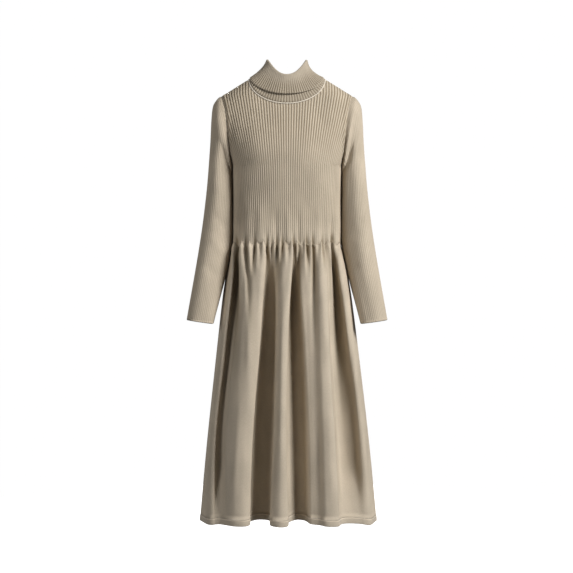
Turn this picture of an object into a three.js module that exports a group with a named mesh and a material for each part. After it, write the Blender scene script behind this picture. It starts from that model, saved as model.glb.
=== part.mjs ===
// Sweater dress: ribbed bodice, set-in ribbed sleeves, doubled collar and gathered skirt.
// Millimetres, +Z up, +X to the viewer's right, and the front faces -Y.
// The origin is the middle of the neck opening, level with the neck ends of the shoulders.
import * as THREE from "three";

// Driving dimensions
const WALL = 2.4;
const SEAM_GAP = 0.3;
const RIB_RAISE = 1.1;
const RIB_END = 0.25;
const PANEL_RIBS = 36;
const TOP_PITCH = 7.1;
const TOP_PITCH_Z = -40;
const WAIST_Z = -412;
const WAIST_HALF_WIDTH = 132.5;
const ARMPIT_Z = -218;
const CHEST_HALF_WIDTH = 134.5;
const SHOULDER_SPREAD = 43;
const SHOULDER_RISE = 178;
const SHOULDER_SLOPE = 0.63;
const SHOULDER_ROUND = 45;
const SHOULDER_TIP_X = 162.5;
const NECK_HALF_WIDTH = 96.5;
const NECK_END_Z = 1;
const TORSO_POWER = 2.4;
const NECK_BAND = { height: 3, thick: 3.4, columns: 60 };
const SLEEVE_RIBS = 46;
const SLEEVE_INNER_COLUMNS = 24;
const ARMPIT_WIDTH = 14;
// The underarm starts at this turn from the shoulder tip and is full at this much more
const UNDERARM = { from: 1.5, over: 1 };
const COLLAR_RIBS = 76;
const COLLAR_PLAIN_COLUMNS = 50;
const COLLAR_WALL = 2.2;
const COLLAR_LAYER = 4.2;
// How the collar's stand bulges: where along it, how far up, and less up and further back behind
const COLLAR_BULGE = { at: 0.42, up: 9, lessBehind: 5, backward: 12 };
// How far the stand is drawn in and down at the left and right of the neck
const COLLAR_WAIST = { left: { inward: 9, down: 8 }, right: { inward: 15, down: 14 } };
const SKIRT_TOP_Z = WAIST_Z - SEAM_GAP;
const HEM_Z = -1092;
const HEM_HEIGHT = 14;
const HEM_WALL = 3.2;
// The hem's edge rises in the valleys and drops at the side seams
const HEM_EDGE = { valleyRise: 5, sideDrop: 8, halfWidth: 220 };
// How deep a full valley goes, as a share of the skirt's depth, just below the waist and more below
const VALLEY_REACH = { top: 0, more: 0.6, power: 7 };
// Height at which valleys that end above the hem begin to fade
const FADE_Z = -940;

// The two faces of the body: sign of y, neckline drop, the column of depths below, and
// the columns between two fold lines of the skirt
const FRONT = { sign: -1, neckDrop: 67, depth: "front", fine: 3, coarse: 2 };
const BACK = { sign: 1, neckDrop: 14, depth: "back", fine: 4, coarse: 3 };

// How far the bodice stands in front of and behind the side seams, by height
const TORSO_DEPTHS = [
  { z: -412, front: 82, back: 76 },
  { z: -350, front: 84, back: 72 },
  { z: -290, front: 90, back: 74 },
  { z: -230, front: 98, back: 79 },
  { z: -190, front: 100, back: 80 },
  { z: -150, front: 92, back: 80 },
  { z: -110, front: 78, back: 77 },
  { z: -66, front: 60, back: 66 },
  { z: -40, front: 52, back: 56 },
  { z: 5, front: 45, back: 42 },
];

// The armhole seam, from shoulder tip to armpit
const ARMHOLE = [
  { z: -218, x: 134.5 },
  { z: -198, x: 137.5 },
  { z: -173, x: 140 },
  { z: -148, x: 142.5 },
  { z: -123, x: 145 },
  { z: -98, x: 148 },
  { z: -78, x: 151 },
  { z: -58, x: 156 },
  { z: -40.58, x: 162.5 },
];

// Sleeve rings after the armhole: outer and inner edge points, half depth, forward shift,
// and how far back the inner side is tucked behind the body
const SLEEVE_RINGS = [
  { outX: 171, outZ: -46, inX: 140.3, inZ: -223, half: 51, y: 0, tuck: 0 },
  { outX: 182, outZ: -62, inX: 140.4, inZ: -231, half: 49, y: 0, tuck: 0 },
  { outX: 186.5, outZ: -95, inX: 140.3, inZ: -242, half: 46, y: 0, tuck: 4 },
  { outX: 189.5, outZ: -160, inX: 138.6, inZ: -260, half: 44, y: 0, tuck: 16 },
  { outX: 198, outZ: -275, inX: 136.5, inZ: -315, half: 42, y: -2, tuck: 34 },
  { outX: 214, outZ: -400, inX: 136.5, inZ: -402, half: 40, y: -8, tuck: 36 },
  { outX: 246, outZ: -596, inX: 184, inZ: -605, half: 31, y: -35, tuck: 0 },
];

// Skirt outline: middle and half width at the side seams, and how far its ridges stand out
const SKIRT_SHAPE = [
  { z: -412, middle: 0, halfWidth: 133, front: 83, back: 77 },
  { z: -425, middle: 0, halfWidth: 137, front: 88, back: 80 },
  { z: -460, middle: 0, halfWidth: 146, front: 95, back: 85 },
  { z: -510, middle: 0, halfWidth: 155.5, front: 101, back: 89 },
  { z: -560, middle: 0.4, halfWidth: 162.5, front: 105, back: 93 },
  { z: -700, middle: 1.5, halfWidth: 179, front: 112, back: 101 },
  { z: -900, middle: 2.6, halfWidth: 201.5, front: 119, back: 111 },
  { z: -1100, middle: 3.2, halfWidth: 220.5, front: 125, back: 119 },
];

// Heights at which the fold tables give where each fold line runs
const FOLD_STATIONS = [-412, -490, -640, -870, -1100];

// Fold lines of the front, from the left side seam to the right one.
// The five distances are from the middle at the heights above; deep is 0 on a ridge, 1 in a
// valley, and hem is what it comes to at the hem, where that differs.
const FRONT_FOLDS = [
  { line: "left strip", at: [-130, -139, -157, -184, -192], deep: 0.08 },
  { line: "left strip lip", at: [-127, -134, -151, -176, -182], deep: 0.22, hem: 0.1 },
  { line: "gully wall", at: [-123.5, -130.5, -148, -171, -176], deep: 0.62, hem: 0.2 },
  { line: "gully floor", at: [-118, -126, -141, -161, -164], deep: 0.8, hem: 0.26 },
  { line: "ridge A undercut", at: [-112, -121.5, -133, -150, -152], deep: 0.56, hem: 0.18 },
  { line: "ridge A left lip", at: [-106, -117, -128, -146, -147], deep: 0.14 },
  { line: "ridge A crest", at: [-90, -96, -112, -121, -124], deep: 0 },
  { line: "ridge A right crest", at: [-68, -66, -77, -100, -102], deep: 0.04 },
  { line: "ridge A right lip", at: [-58, -60, -66, -84, -92], deep: 0.2 },
  { line: "valley B left wall", at: [-50, -57, -64, -82, -92], deep: 0.7 },
  { line: "valley B floor", at: [-42, -46, -52, -64, -70], deep: 1 },
  { line: "valley B right", at: [-34, -33, -36, -40, -46], deep: 0.92 },
  { line: "ridge C undercut", at: [-27, -27, -30, -33, -40], deep: 0.55 },
  { line: "ridge C left lip", at: [-20, -22, -28, -33, -39], deep: 0.2 },
  { line: "ridge C crest", at: [-4, -2, -10, -14, -17], deep: 0 },
  { line: "ridge C right lip", at: [10, 10, 4, 1, 4], deep: 0.1 },
  { line: "valley D left wall", at: [15, 14, 7.5, 4, 8], deep: 0.6 },
  { line: "valley D floor", at: [22, 20, 20, 20, 25], deep: 1 },
  { line: "valley D right", at: [29, 28, 34, 40, 43], deep: 0.88 },
  { line: "valley D step", at: [36, 35, 44, 53, 58], deep: 0.4 },
  { line: "ridge E left flank", at: [44, 44, 53, 62, 69], deep: 0.14 },
  { line: "ridge E dip", at: [57, 59, 67, 75, 80], deep: 0.24 },
  { line: "ridge E crest", at: [72, 76, 84, 92, 97], deep: 0.03 },
  { line: "ridge E right lip", at: [90, 93, 105, 121, 130], deep: 0.04 },
  { line: "valley F left wall", at: [96, 101, 114, 134, 141], deep: 0.5, hem: 0.26 },
  { line: "valley F floor", at: [103, 111, 124, 146, 152], deep: 0.84, hem: 0.42 },
  { line: "valley F right", at: [112, 122, 139, 160, 170], deep: 0.74, hem: 0.36 },
  { line: "ridge G left", at: [120, 132, 150, 175, 188], deep: 0.24, hem: 0.14 },
  { line: "ridge G crest", at: [127, 142, 160, 187, 203], deep: 0.02 },
];

// Fold lines of the back, in the same columns
const BACK_FOLDS = [
  { line: "side roll left", at: [-126, -139, -156, -180, -196], deep: 0.05 },
  { line: "side gully left", at: [-112, -122, -136, -152, -164], deep: 0.55 },
  { line: "ridge H left", at: [-98, -108, -120, -134, -144], deep: 0.1 },
  { line: "ridge H crest", at: [-84, -92, -102, -112, -120], deep: 0 },
  { line: "ridge H right", at: [-70, -76, -84, -92, -100], deep: 0.14 },
  { line: "valley J left", at: [-60, -64, -70, -77, -86], deep: 0.6 },
  { line: "valley J floor", at: [-48, -52, -56, -60, -66], deep: 0.84 },
  { line: "ridge K left", at: [-36, -39, -42, -43, -46], deep: 0.2 },
  { line: "ridge K crest", at: [-18, -20, -20, -20, -20], deep: 0 },
  { line: "ridge K right", at: [-4, -3, -1, 2, 4], deep: 0.16 },
  { line: "valley L floor", at: [10, 12, 15, 19, 24], deep: 0.72 },
  { line: "valley L right", at: [24, 27, 31, 36, 42], deep: 0.62 },
  { line: "ridge M left", at: [36, 40, 46, 52, 60], deep: 0.12 },
  { line: "ridge M crest", at: [54, 60, 68, 76, 84], deep: 0 },
  { line: "ridge M right", at: [70, 77, 87, 98, 106], deep: 0.12 },
  { line: "valley N floor", at: [86, 94, 106, 122, 132], deep: 0.7 },
  { line: "ridge P left", at: [100, 110, 124, 144, 156], deep: 0.2 },
  { line: "ridge P crest", at: [120, 134, 152, 174, 190], deep: 0.02 },
];

// Small gathers below the waist seam: distance from the middle, height, length down the skirt
const FRONT_GATHERS = [
  { x: -130, out: 4.8, long: 90 },
  { x: -110, out: 5.7, long: 110 },
  { x: -91, out: 5.4, long: 130 },
  { x: -73, out: 4.5, long: 70 },
  { x: -58, out: 6, long: 110 },
  { x: -44, out: 4.8, long: 60 },
  { x: -31, out: 4.5, long: 55 },
  { x: -17, out: 5.4, long: 90 },
  { x: -4, out: 4.8, long: 70 },
  { x: 11, out: 6, long: 120 },
  { x: 25, out: 4.5, long: 60 },
  { x: 44, out: 5.7, long: 100 },
  { x: 59, out: 4.8, long: 75 },
  { x: 83, out: 6, long: 130 },
  { x: 99, out: 4.8, long: 80 },
  { x: 113, out: 5.4, long: 100 },
  { x: 128, out: 5.1, long: 90 },
];
const BACK_GATHERS = [
  { x: -127, out: 4.8, long: 90 },
  { x: -111, out: 5.4, long: 80 },
  { x: -96, out: 4.8, long: 110 },
  { x: -80, out: 5.7, long: 90 },
  { x: -66, out: 4.8, long: 70 },
  { x: -50, out: 5.4, long: 100 },
  { x: -34, out: 4.8, long: 60 },
  { x: -19, out: 5.7, long: 100 },
  { x: -3, out: 4.8, long: 80 },
  { x: 14, out: 5.4, long: 90 },
  { x: 29, out: 4.8, long: 65 },
  { x: 45, out: 5.7, long: 110 },
  { x: 60, out: 4.8, long: 75 },
  { x: 77, out: 5.4, long: 95 },
  { x: 94, out: 4.8, long: 80 },
  { x: 110, out: 5.4, long: 100 },
  { x: 126, out: 4.8, long: 85 },
];

// Half width of a gather at the seam, and how far down it doubles
const GATHER_WIDTH = 9;
const GATHER_SPREAD = 120;

// Bodice rows meet the armhole at these steps round it, counted from the shoulder tip,
// and bend up to the shoulder line inside the rib named next
const ARMHOLE_STEPS = 23;
const BODICE_ROW_STEPS = [23, 13, 9, 6, 3];
const ROW_BEND_RIB = 21;

// Rows of the skirt, as shares of its height down from the waist, with how close their points are
const SKIRT_ROWS = [
  { down: 0, columns: "fine" },
  { down: 0.018, columns: "fine" },
  { down: 0.06, columns: "fine" },
  { down: 0.13, columns: "fine" },
  { down: 0.24, columns: "coarse" },
  { down: 0.42, columns: "coarse" },
  { down: 0.68, columns: "coarse" },
  { down: 1, columns: "coarse" },
];

const KNIT = {
  rib: { color: 0xa99d8c, roughness: 0.94, metalness: 0 },
  plain: { color: 0xaa9e8c, roughness: 0.92, metalness: 0 },
  seam: { color: 0xb0a491, roughness: 0.95, metalness: 0 },
};

const clamp = (value, low, high) => Math.min(high, Math.max(low, value));
const mix = (a, b, t) => a + (b - a) * t;
const smooth = (t) => {
  const c = clamp(t, 0, 1);
  return c * c * (3 - 2 * c);
};

// A smooth curve through points (xs, ys), read at x
function curveThrough(xs, ys, x) {
  const last = xs.length - 1;
  const slope = (i) => {
    const a = Math.max(0, i - 1);
    const b = Math.min(last, i + 1);
    return (ys[b] - ys[a]) / (xs[b] - xs[a]);
  };
  const at = clamp(x, Math.min(xs[0], xs[last]), Math.max(xs[0], xs[last]));
  const rising = xs[last] > xs[0];
  let i = 0;
  while (i < last - 1 && (rising ? at > xs[i + 1] : at < xs[i + 1])) i += 1;
  const step = xs[i + 1] - xs[i];
  const t = (at - xs[i]) / step;
  const bend = (1 - t) * (1 - t);
  return (
    ys[i] * bend * (1 + 2 * t) +
    slope(i) * step * bend * t +
    ys[i + 1] * t * t * (3 - 2 * t) -
    slope(i + 1) * step * t * t * (1 - t)
  );
}

const columnOf = (table, name) => table.map((row) => row[name]);
const tableAt = (table, name, z) =>
  curveThrough(columnOf(table, "z"), columnOf(table, name), z);

// The torso's half width: straight sides below the armpit, spreading above it under the sleeve
function torsoHalfWidth(z) {
  if (z <= ARMPIT_Z) {
    return mix(WAIST_HALF_WIDTH, CHEST_HALF_WIDTH, (z - WAIST_Z) / (ARMPIT_Z - WAIST_Z));
  }
  const rise = clamp((z - ARMPIT_Z) / SHOULDER_RISE, 0, 1);
  return CHEST_HALF_WIDTH + SHOULDER_SPREAD * Math.sin((rise * Math.PI) / 2) ** 1.2;
}

const shoulderZ = (x) => NECK_END_Z - (Math.abs(x) - NECK_HALF_WIDTH) * SHOULDER_SLOPE;
const depthAt = (face, z) => tableAt(TORSO_DEPTHS, face.depth, z);
const fullness = (q) =>
  Math.max(0, 1 - Math.abs(q) ** TORSO_POWER) ** (1 / TORSO_POWER);

// How much of the depth is left near the shoulder line, where front and back meet
function shoulderRounding(x, z) {
  const s = clamp((shoulderZ(x) - z) / SHOULDER_ROUND, 0, 1);
  return Math.sqrt(s * (2 - s));
}

// Lengths along a quarter of the torso's section, from the middle to the side
function quarterArc(face, z) {
  const steps = 120;
  const a = torsoHalfWidth(z);
  const b = depthAt(face, z);
  const arc = [{ x: 0, y: b, length: 0 }];
  for (let i = 1; i <= steps; i += 1) {
    const angle = (i / steps) * (Math.PI / 2);
    const x = a * Math.sin(angle) ** (2 / TORSO_POWER);
    const y = b * Math.max(0, Math.cos(angle)) ** (2 / TORSO_POWER);
    const before = arc[i - 1];
    arc.push({ x, y, length: before.length + Math.hypot(x - before.x, y - before.y) });
  }
  return arc;
}

function readArc(arc, from, to, value) {
  let i = 1;
  while (i < arc.length - 1 && arc[i][from] < value) i += 1;
  const a = arc[i - 1];
  const b = arc[i];
  const t = clamp((value - a[from]) / (b[from] - a[from] || 1), 0, 1);
  return mix(a[to], b[to], t);
}

// Distance between ribs at a height: even to the armpit, wider towards the shoulders
function ribPitch(face, z) {
  const arc = quarterArc(face, Math.min(z, ARMPIT_Z));
  const even = arc[arc.length - 1].length / PANEL_RIBS;
  return mix(even, TOP_PITCH, clamp((z - ARMPIT_Z) / (TOP_PITCH_Z - ARMPIT_Z), 0, 1));
}

// A point on the middle of the bodice cloth, on rib line rib and at height z
function torsoPoint(face, rib, z) {
  const arc = quarterArc(face, z);
  const along = Math.abs(rib) * ribPitch(face, z);
  const x = Math.sign(rib) * readArc(arc, "length", "x", along);
  const y = readArc(arc, "length", "y", along) * shoulderRounding(x, z);
  return new THREE.Vector3(x, face.sign * y, z);
}

// The torso's surface at (x, z), on the given face
function torsoAt(face, x, z) {
  const y = depthAt(face, z) * fullness(x / torsoHalfWidth(z)) * shoulderRounding(x, z);
  return new THREE.Vector3(x, face.sign * y, z);
}

// Outward direction of the torso's surface, from the gradient of the shape it fills
function torsoNormal(face, p) {
  const filled = (x, y, z) => {
    const s = clamp((shoulderZ(x) - z) / SHOULDER_ROUND, -0.2, 1);
    const plan = Math.max(0, 1 - Math.abs(x / torsoHalfWidth(z)) ** TORSO_POWER);
    return (y / depthAt(face, z)) ** 2 - s * (2 - s) * plan ** (2 / TORSO_POWER);
  };
  const e = 0.4;
  return new THREE.Vector3(
    filled(p.x + e, p.y, p.z) - filled(p.x - e, p.y, p.z),
    filled(p.x, p.y + e, p.z) - filled(p.x, p.y - e, p.z),
    filled(p.x, p.y, p.z + e) - filled(p.x, p.y, p.z - e),
  ).normalize();
}

const armholeX = (z) => tableAt(ARMHOLE, "x", z);

// Rib number at which the armhole cuts the bodice at height z
function ribAtArmhole(face, z) {
  const arc = quarterArc(face, z);
  return readArc(arc, "x", "length", Math.min(armholeX(z), torsoHalfWidth(z))) / ribPitch(face, z);
}

function necklineZ(face, x) {
  const q = clamp(1 - (x / NECK_HALF_WIDTH) ** 2, 0, 1);
  return NECK_END_Z - face.neckDrop * Math.sqrt(q);
}

const panelTopZ = (face, x) =>
  Math.abs(x) < NECK_HALF_WIDTH ? necklineZ(face, x) : shoulderZ(x);

function bisect(low, high, isBelow) {
  let a = low;
  let b = high;
  for (let i = 0; i < 40; i += 1) {
    const middle = (a + b) / 2;
    if (isBelow(middle)) a = middle;
    else b = middle;
  }
  return (a + b) / 2;
}

// Height at which a rib line ends at the shoulder or the neckline
function ribTop(face, rib) {
  const n = Math.abs(rib);
  return bisect(ARMPIT_Z, NECK_END_Z + 5, (z) => z < panelTopZ(face, torsoPoint(face, n, z).x));
}

// Height of a step round half the armhole, from 0 at the shoulder tip
function armholeZ(step) {
  const turn = (step / ARMHOLE_STEPS) * Math.PI;
  return mix(ARMPIT_Z, shoulderZ(SHOULDER_TIP_X), (1 + Math.cos(turn)) / 2);
}

// Rib numbers along a panel's top edge, closer where the edge runs steeply
function topRibs(face, step, tipRib, longest) {
  const half = [];
  for (let n = 0; n < tipRib - step / 2; n += step) half.push(n);
  const corner = bisect(8, 20, (n) => torsoPoint(face, n, NECK_END_Z).x < NECK_HALF_WIDTH);
  const nearest = half.reduce((a, b) => (Math.abs(b - corner) < Math.abs(a - corner) ? b : a));
  half[half.indexOf(nearest)] = corner;
  const top = (n) => torsoPoint(face, n, ribTop(face, n));
  for (let i = 0; i < half.length - 1; ) {
    const apart = top(half[i]).distanceTo(top(half[i + 1]));
    if (apart > longest) half.splice(i + 1, 0, (half[i] + half[i + 1]) / 2);
    else i += 1;
  }
  return half;
}

const bothSides = (half) => [...half.slice(1).reverse().map((n) => -n), ...half];
const ribRaise = (rib) => RIB_RAISE * (1 - 2 * Math.abs(rib - Math.round(rib)));

// Rows of points for one side of a bodice panel's wall, and the armhole points between them
function bodiceSheet(face, step, offset, raised) {
  const tipZ = shoulderZ(SHOULDER_TIP_X);
  const tipRib = ribAtArmhole(face, tipZ);
  const bendTop = ribTop(face, ROW_BEND_RIB);
  const edgeRib = (z) => (z <= ARMPIT_Z ? PANEL_RIBS : ribAtArmhole(face, z));
  const point = (rib, z, fade) => {
    const p = torsoPoint(face, rib, z);
    const rise = raised ? ribRaise(rib) * fade : 0;
    p.addScaledVector(torsoNormal(face, p), offset + rise);
    p.y = face.sign * Math.max(SEAM_GAP / 2, face.sign * p.y);
    if (z === WAIST_Z) p.z = WAIST_Z;
    return { at: rib, p };
  };
  const ends = [WAIST_Z, ...BODICE_ROW_STEPS.map(armholeZ)];
  const rows = ends.map((end, j) => {
    const edge = edgeRib(end);
    const share = (end - WAIST_Z) / (bendTop - WAIST_Z);
    const half = [];
    const near = end > ARMPIT_Z ? ROW_BEND_RIB - 5 : PANEL_RIBS;
    for (let n = 0; n < edge - 0.25; n += n < near ? step : 0.5) half.push(n);
    if (edge - half.at(-1) < 0.25) half.pop();
    half.push(edge);
    return bothSides(half).map((rib) => {
      const level = mix(WAIST_Z, ribTop(face, Math.min(Math.abs(rib), ROW_BEND_RIB)), share);
      const fade = j === 0 || Math.abs(rib) === edge ? RIB_END : 1;
      return point(rib, Math.abs(rib) < ROW_BEND_RIB ? level : end, fade);
    });
  });
  const top = bothSides([...topRibs(face, step, tipRib, 12), tipRib]);
  rows.push(top.map((rib) => point(rib, Math.abs(rib) === tipRib ? tipZ : ribTop(face, rib), RIB_END)));
  const sides = rows.slice(1).map((row, j) => {
    if (j === 0) return [];
    const low = BODICE_ROW_STEPS[j - 1];
    const high = BODICE_ROW_STEPS[j] ?? 0;
    const between = [];
    for (let k = low - 1; k > high; k -= 1) {
      const rib = edgeRib(armholeZ(k));
      const order = mix(rows[j].at(-1).at, row.at(-1).at, (low - k) / (low - high));
      const pair = [-rib, rib].map((n) => point(n, armholeZ(k), RIB_END));
      between.push([{ at: -order, p: pair[0].p }, { at: order, p: pair[1].p }]);
    }
    return between;
  });
  return { rows, sides };
}

// A closed mesh grown row by row
class Cloth {
  constructor() {
    this.points = [];
    this.faces = [];
  }

  addRow(row) {
    return row.map(({ at, p }) => {
      this.points.push(p.x, p.y, p.z);
      return { at, id: this.points.length / 3 - 1 };
    });
  }

  face(a, b, c, turned) {
    if (a === b || b === c || a === c) return;
    this.faces.push(...(turned ? [a, c, b] : [a, b, c]));
  }

  // Joins two rows that may have different numbers of points, always by the nearer next point
  zip(lower, upper, turned) {
    let i = 0;
    let j = 0;
    while (i < lower.length - 1 || j < upper.length - 1) {
      const canI = i < lower.length - 1;
      const canJ = j < upper.length - 1;
      const nextI = canI ? lower[i + 1].at : Infinity;
      const nextJ = canJ ? upper[j + 1].at : Infinity;
      if (canI && (!canJ || nextI <= nextJ)) {
        this.face(lower[i].id, lower[i + 1].id, upper[j].id, turned);
        i += 1;
      } else {
        this.face(lower[i].id, upper[j + 1].id, upper[j].id, turned);
        j += 1;
      }
    }
  }

  // Rows from low to high; sides[j] pairs the left and right edge points between rows j, j + 1
  addSheet({ rows, sides }, turned) {
    const placed = rows.map((row) => this.addRow(row));
    const left = [placed[0][0]];
    const right = [placed[0].at(-1)];
    for (let j = 1; j < placed.length; j += 1) {
      const pairs = (sides ? sides[j - 1] : []).map((pair) => this.addRow(pair));
      const lefts = pairs.map((pair) => pair[0]);
      const rights = pairs.map((pair) => pair[1]);
      this.zip(placed[j - 1], [...lefts, ...placed[j], ...[...rights].reverse()], turned);
      left.push(...lefts, placed[j][0]);
      right.push(...rights, placed[j].at(-1));
    }
    return { bottom: placed[0], top: placed.at(-1), left, right };
  }

  band(a, b, turned) {
    for (let i = 0; i < a.length - 1; i += 1) {
      this.face(a[i].id, b[i].id, a[i + 1].id, turned);
      this.face(b[i].id, b[i + 1].id, a[i + 1].id, turned);
    }
  }

  mesh(name, knit) {
    const geometry = new THREE.BufferGeometry();
    geometry.setAttribute("position", new THREE.Float32BufferAttribute(this.points, 3));
    geometry.setIndex(this.faces);
    geometry.computeVertexNormals();
    const mesh = new THREE.Mesh(geometry, new THREE.MeshStandardMaterial(knit));
    mesh.name = name;
    return mesh;
  }
}

// A wall with free side edges, from the sheets of its outer and inner side
function openWall(name, knit, outerSheet, innerSheet, turned) {
  const cloth = new Cloth();
  const outer = cloth.addSheet(outerSheet, turned);
  const inner = cloth.addSheet(innerSheet, !turned);
  cloth.band(inner.left, outer.left, turned);
  cloth.band(outer.right, inner.right, turned);
  cloth.zip(outer.bottom, inner.bottom, !turned);
  cloth.zip(outer.top, inner.top, turned);
  return cloth.mesh(name, knit);
}

// A tube's wall: each row runs round the tube, and the last row joins the first
function ringSolid(name, knit, rows, turned) {
  const cloth = new Cloth();
  const rings = rows.map((row) => {
    const ring = cloth.addRow(row);
    return [...ring, { at: ring[0].at + 1, id: ring[0].id }];
  });
  rings.forEach((ring, j) => cloth.zip(ring, rings[(j + 1) % rings.length], turned));
  return cloth.mesh(name, knit);
}

function bodicePanel(name, face) {
  const outer = bodiceSheet(face, 0.5, WALL / 2, true);
  const inner = bodiceSheet(face, 2, -WALL / 2, false);
  return openWall(name, KNIT.rib, outer, inner, face === BACK);
}

// Neck

// Frames round the neckline, evenly spaced: place, outward direction, and the way up the collar
function neckFrames(count) {
  const fine = 400;
  const corner = (turn) => {
    const quarter = Math.floor(turn * 4) % 4;
    const w = turn * 4 - Math.floor(turn * 4);
    const near = quarter % 2 === 0 ? w * w : 1 - (1 - w) * (1 - w);
    return ((quarter + near) * Math.PI) / 2;
  };
  const place = (angle) => {
    const face = Math.sin(angle) >= 0 ? FRONT : BACK;
    const x = NECK_HALF_WIDTH * Math.cos(angle);
    const z = NECK_END_Z - face.neckDrop * Math.abs(Math.sin(angle));
    return torsoAt(face, x, z);
  };
  const trail = [{ angle: 0, length: 0, p: place(0) }];
  for (let i = 1; i <= fine; i += 1) {
    const angle = i === fine ? 2 * Math.PI : corner(i / fine);
    const p = place(angle);
    const before = trail[i - 1];
    trail.push({ angle, length: before.length + p.distanceTo(before.p), p });
  }
  const total = trail[fine].length;
  return Array.from({ length: count }, (_, i) => {
    const angle = readArc(trail, "length", "angle", (i / count) * total);
    const p = place(angle);
    const face = Math.sin(angle) >= 0 ? FRONT : BACK;
    const n = torsoNormal(face, p);
    const ahead = readArc(trail, "length", "angle", ((i + 0.2) / count) * total);
    const behind = readArc(trail, "length", "angle", (((i + count - 0.2) % count) / count) * total);
    const along = place(ahead).sub(place(behind)).normalize();
    const up = new THREE.Vector3().crossVectors(n, along).normalize();
    const towardsNeck = new THREE.Vector3(-p.x, 0, NECK_HALF_WIDTH);
    if (up.dot(towardsNeck) < 0) up.negate();
    return { angle, p, n, up };
  });
}

function neckBand() {
  const frames = neckFrames(NECK_BAND.columns);
  const low = SEAM_GAP;
  const high = SEAM_GAP + NECK_BAND.height;
  const half = NECK_BAND.thick / 2;
  const corners = [
    { up: low, out: half },
    { up: high, out: half },
    { up: high, out: -half },
    { up: low, out: -half },
  ];
  const rows = corners.map((corner) =>
    frames.map((frame, i) => ({
      at: i / frames.length,
      p: frame.p.clone().addScaledVector(frame.up, corner.up).addScaledVector(frame.n, corner.out),
    })),
  );
  return ringSolid("neck_seam", KNIT.seam, rows, true);
}

// The collar's rim, at the middle of its two layers
const COLLAR_RIM = { halfWidth: 46, front: 50, back: 60, sideZ: 52, frontZ: 8, backZ: 20 };

function rimPoint(angle) {
  const c = Math.cos(angle);
  const s = Math.sin(angle);
  const front = s >= 0;
  const y = front ? -COLLAR_RIM.front * s : -COLLAR_RIM.back * s;
  const low = front ? COLLAR_RIM.frontZ : COLLAR_RIM.backZ;
  const z = mix(low, COLLAR_RIM.sideZ, Math.abs(c) ** 1.6);
  return new THREE.Vector3(COLLAR_RIM.halfWidth * c, y, z);
}

// Where the turned-over layer ends, as a share of the stand's height
function turnoverEnd(angle) {
  const s = Math.sin(angle);
  return s >= 0 ? mix(0.1, 0.29, s ** 1.5) : mix(0.1, 0.08, -s);
}

// Middle of the stand at share v of its height, with its outward direction
function collarStand(frame, v) {
  const base = frame.p.clone().addScaledVector(frame.up, NECK_BAND.height + 2 * SEAM_GAP);
  const rim = rimPoint(frame.angle);
  const behind = Math.max(0, -Math.sin(frame.angle));
  const up = COLLAR_BULGE.up - COLLAR_BULGE.lessBehind * behind;
  const knee = base.clone().lerp(rim, COLLAR_BULGE.at).addScaledVector(frame.up, up);
  knee.y += COLLAR_BULGE.backward * behind;
  const c = Math.cos(frame.angle);
  const waist = c < 0 ? COLLAR_WAIST.left : COLLAR_WAIST.right;
  knee.x -= waist.inward * c * Math.abs(c) ** 2;
  knee.z -= waist.down * Math.abs(c) ** 3;
  const curve = new THREE.QuadraticBezierCurve3(base, knee, rim);
  return { p: curve.getPoint(v), t: curve.getTangent(v) };
}

function collarPoint(frame, side, v, out) {
  const { p, t } = collarStand(frame, v);
  const across = new THREE.Vector3().crossVectors(t, side).normalize();
  return p.addScaledVector(v === 0 ? frame.n : across, out);
}

// The collar's section, from the seam up the inside, over the rim and down the outside
function collarSection(frame) {
  const end = turnoverEnd(frame.angle);
  const h = COLLAR_WALL / 2;
  const near = COLLAR_LAYER - h;
  const far = COLLAR_LAYER + h;
  return [
    { v: 0, out: -h },
    { v: 0.35, out: -h },
    { v: 0.7, out: -h },
    { v: 0.97, out: -h },
    { v: 1, out: 0.2, lift: 1.9 },
    { v: 1, out: COLLAR_LAYER - 0.2, lift: 1.9 },
    { v: 0.97, out: far },
    { v: mix(end, 1, 0.66), out: far },
    { v: mix(end, 1, 0.33), out: far, raised: 0.8 },
    { v: end, out: far, raised: 1 },
    { v: end, out: near },
    { v: mix(end, 1, 0.5), out: near },
    { v: 0.965, out: near },
    { v: 0.965, out: h },
    { v: mix(end, 1, 0.5), out: h },
    { v: end * 0.96, out: h, raised: 0.7 },
    { v: 0, out: h, raised: 0.4 },
  ];
}

function collar() {
  const ribbed = neckFrames(COLLAR_RIBS * 2);
  const plain = neckFrames(COLLAR_PLAIN_COLUMNS);
  const pointOf = (frames, row, i) => {
    const frame = frames[i];
    const count = frames.length;
    const spec = collarSection(frame)[row];
    const ahead = collarStand(frames[(i + 1) % count], spec.v).p;
    const behind = collarStand(frames[(i + count - 1) % count], spec.v).p;
    const side = ahead.sub(behind).normalize();
    const raise = spec.raised && i % 2 === 0 ? spec.raised * RIB_RAISE : 0;
    const p = collarPoint(frame, side, spec.v, spec.out + raise);
    p.addScaledVector(collarStand(frame, spec.v).t, spec.lift || 0);
    return { at: i / count, p };
  };
  const rows = collarSection(plain[0]).map((spec, row) => {
    const frames = spec.raised ? ribbed : plain;
    return frames.map((_, i) => pointOf(frames, row, i));
  });
  return ringSolid("collar", KNIT.rib, rows, false);
}

// Sleeves

// The armhole seam at turn angle, with the bodice's outward direction there
function armholeFrame(angle) {
  const face = Math.sin(angle) >= 0 ? FRONT : BACK;
  const topZ = shoulderZ(SHOULDER_TIP_X);
  const z = mix(ARMPIT_Z, topZ, (1 + Math.cos(angle)) / 2);
  const p = torsoAt(face, Math.min(armholeX(z), torsoHalfWidth(z)), z);
  const n = torsoNormal(face, p);
  p.y = face.sign * Math.max(Math.abs(p.y), ARMPIT_WIDTH * Math.abs(Math.sin(angle)));
  return { p, n };
}

// 0 over the shoulder and 1 under the arm
const underarm = (angle) =>
  smooth((Math.acos(clamp(Math.cos(angle), -1, 1)) - UNDERARM.from) / UNDERARM.over);

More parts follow.
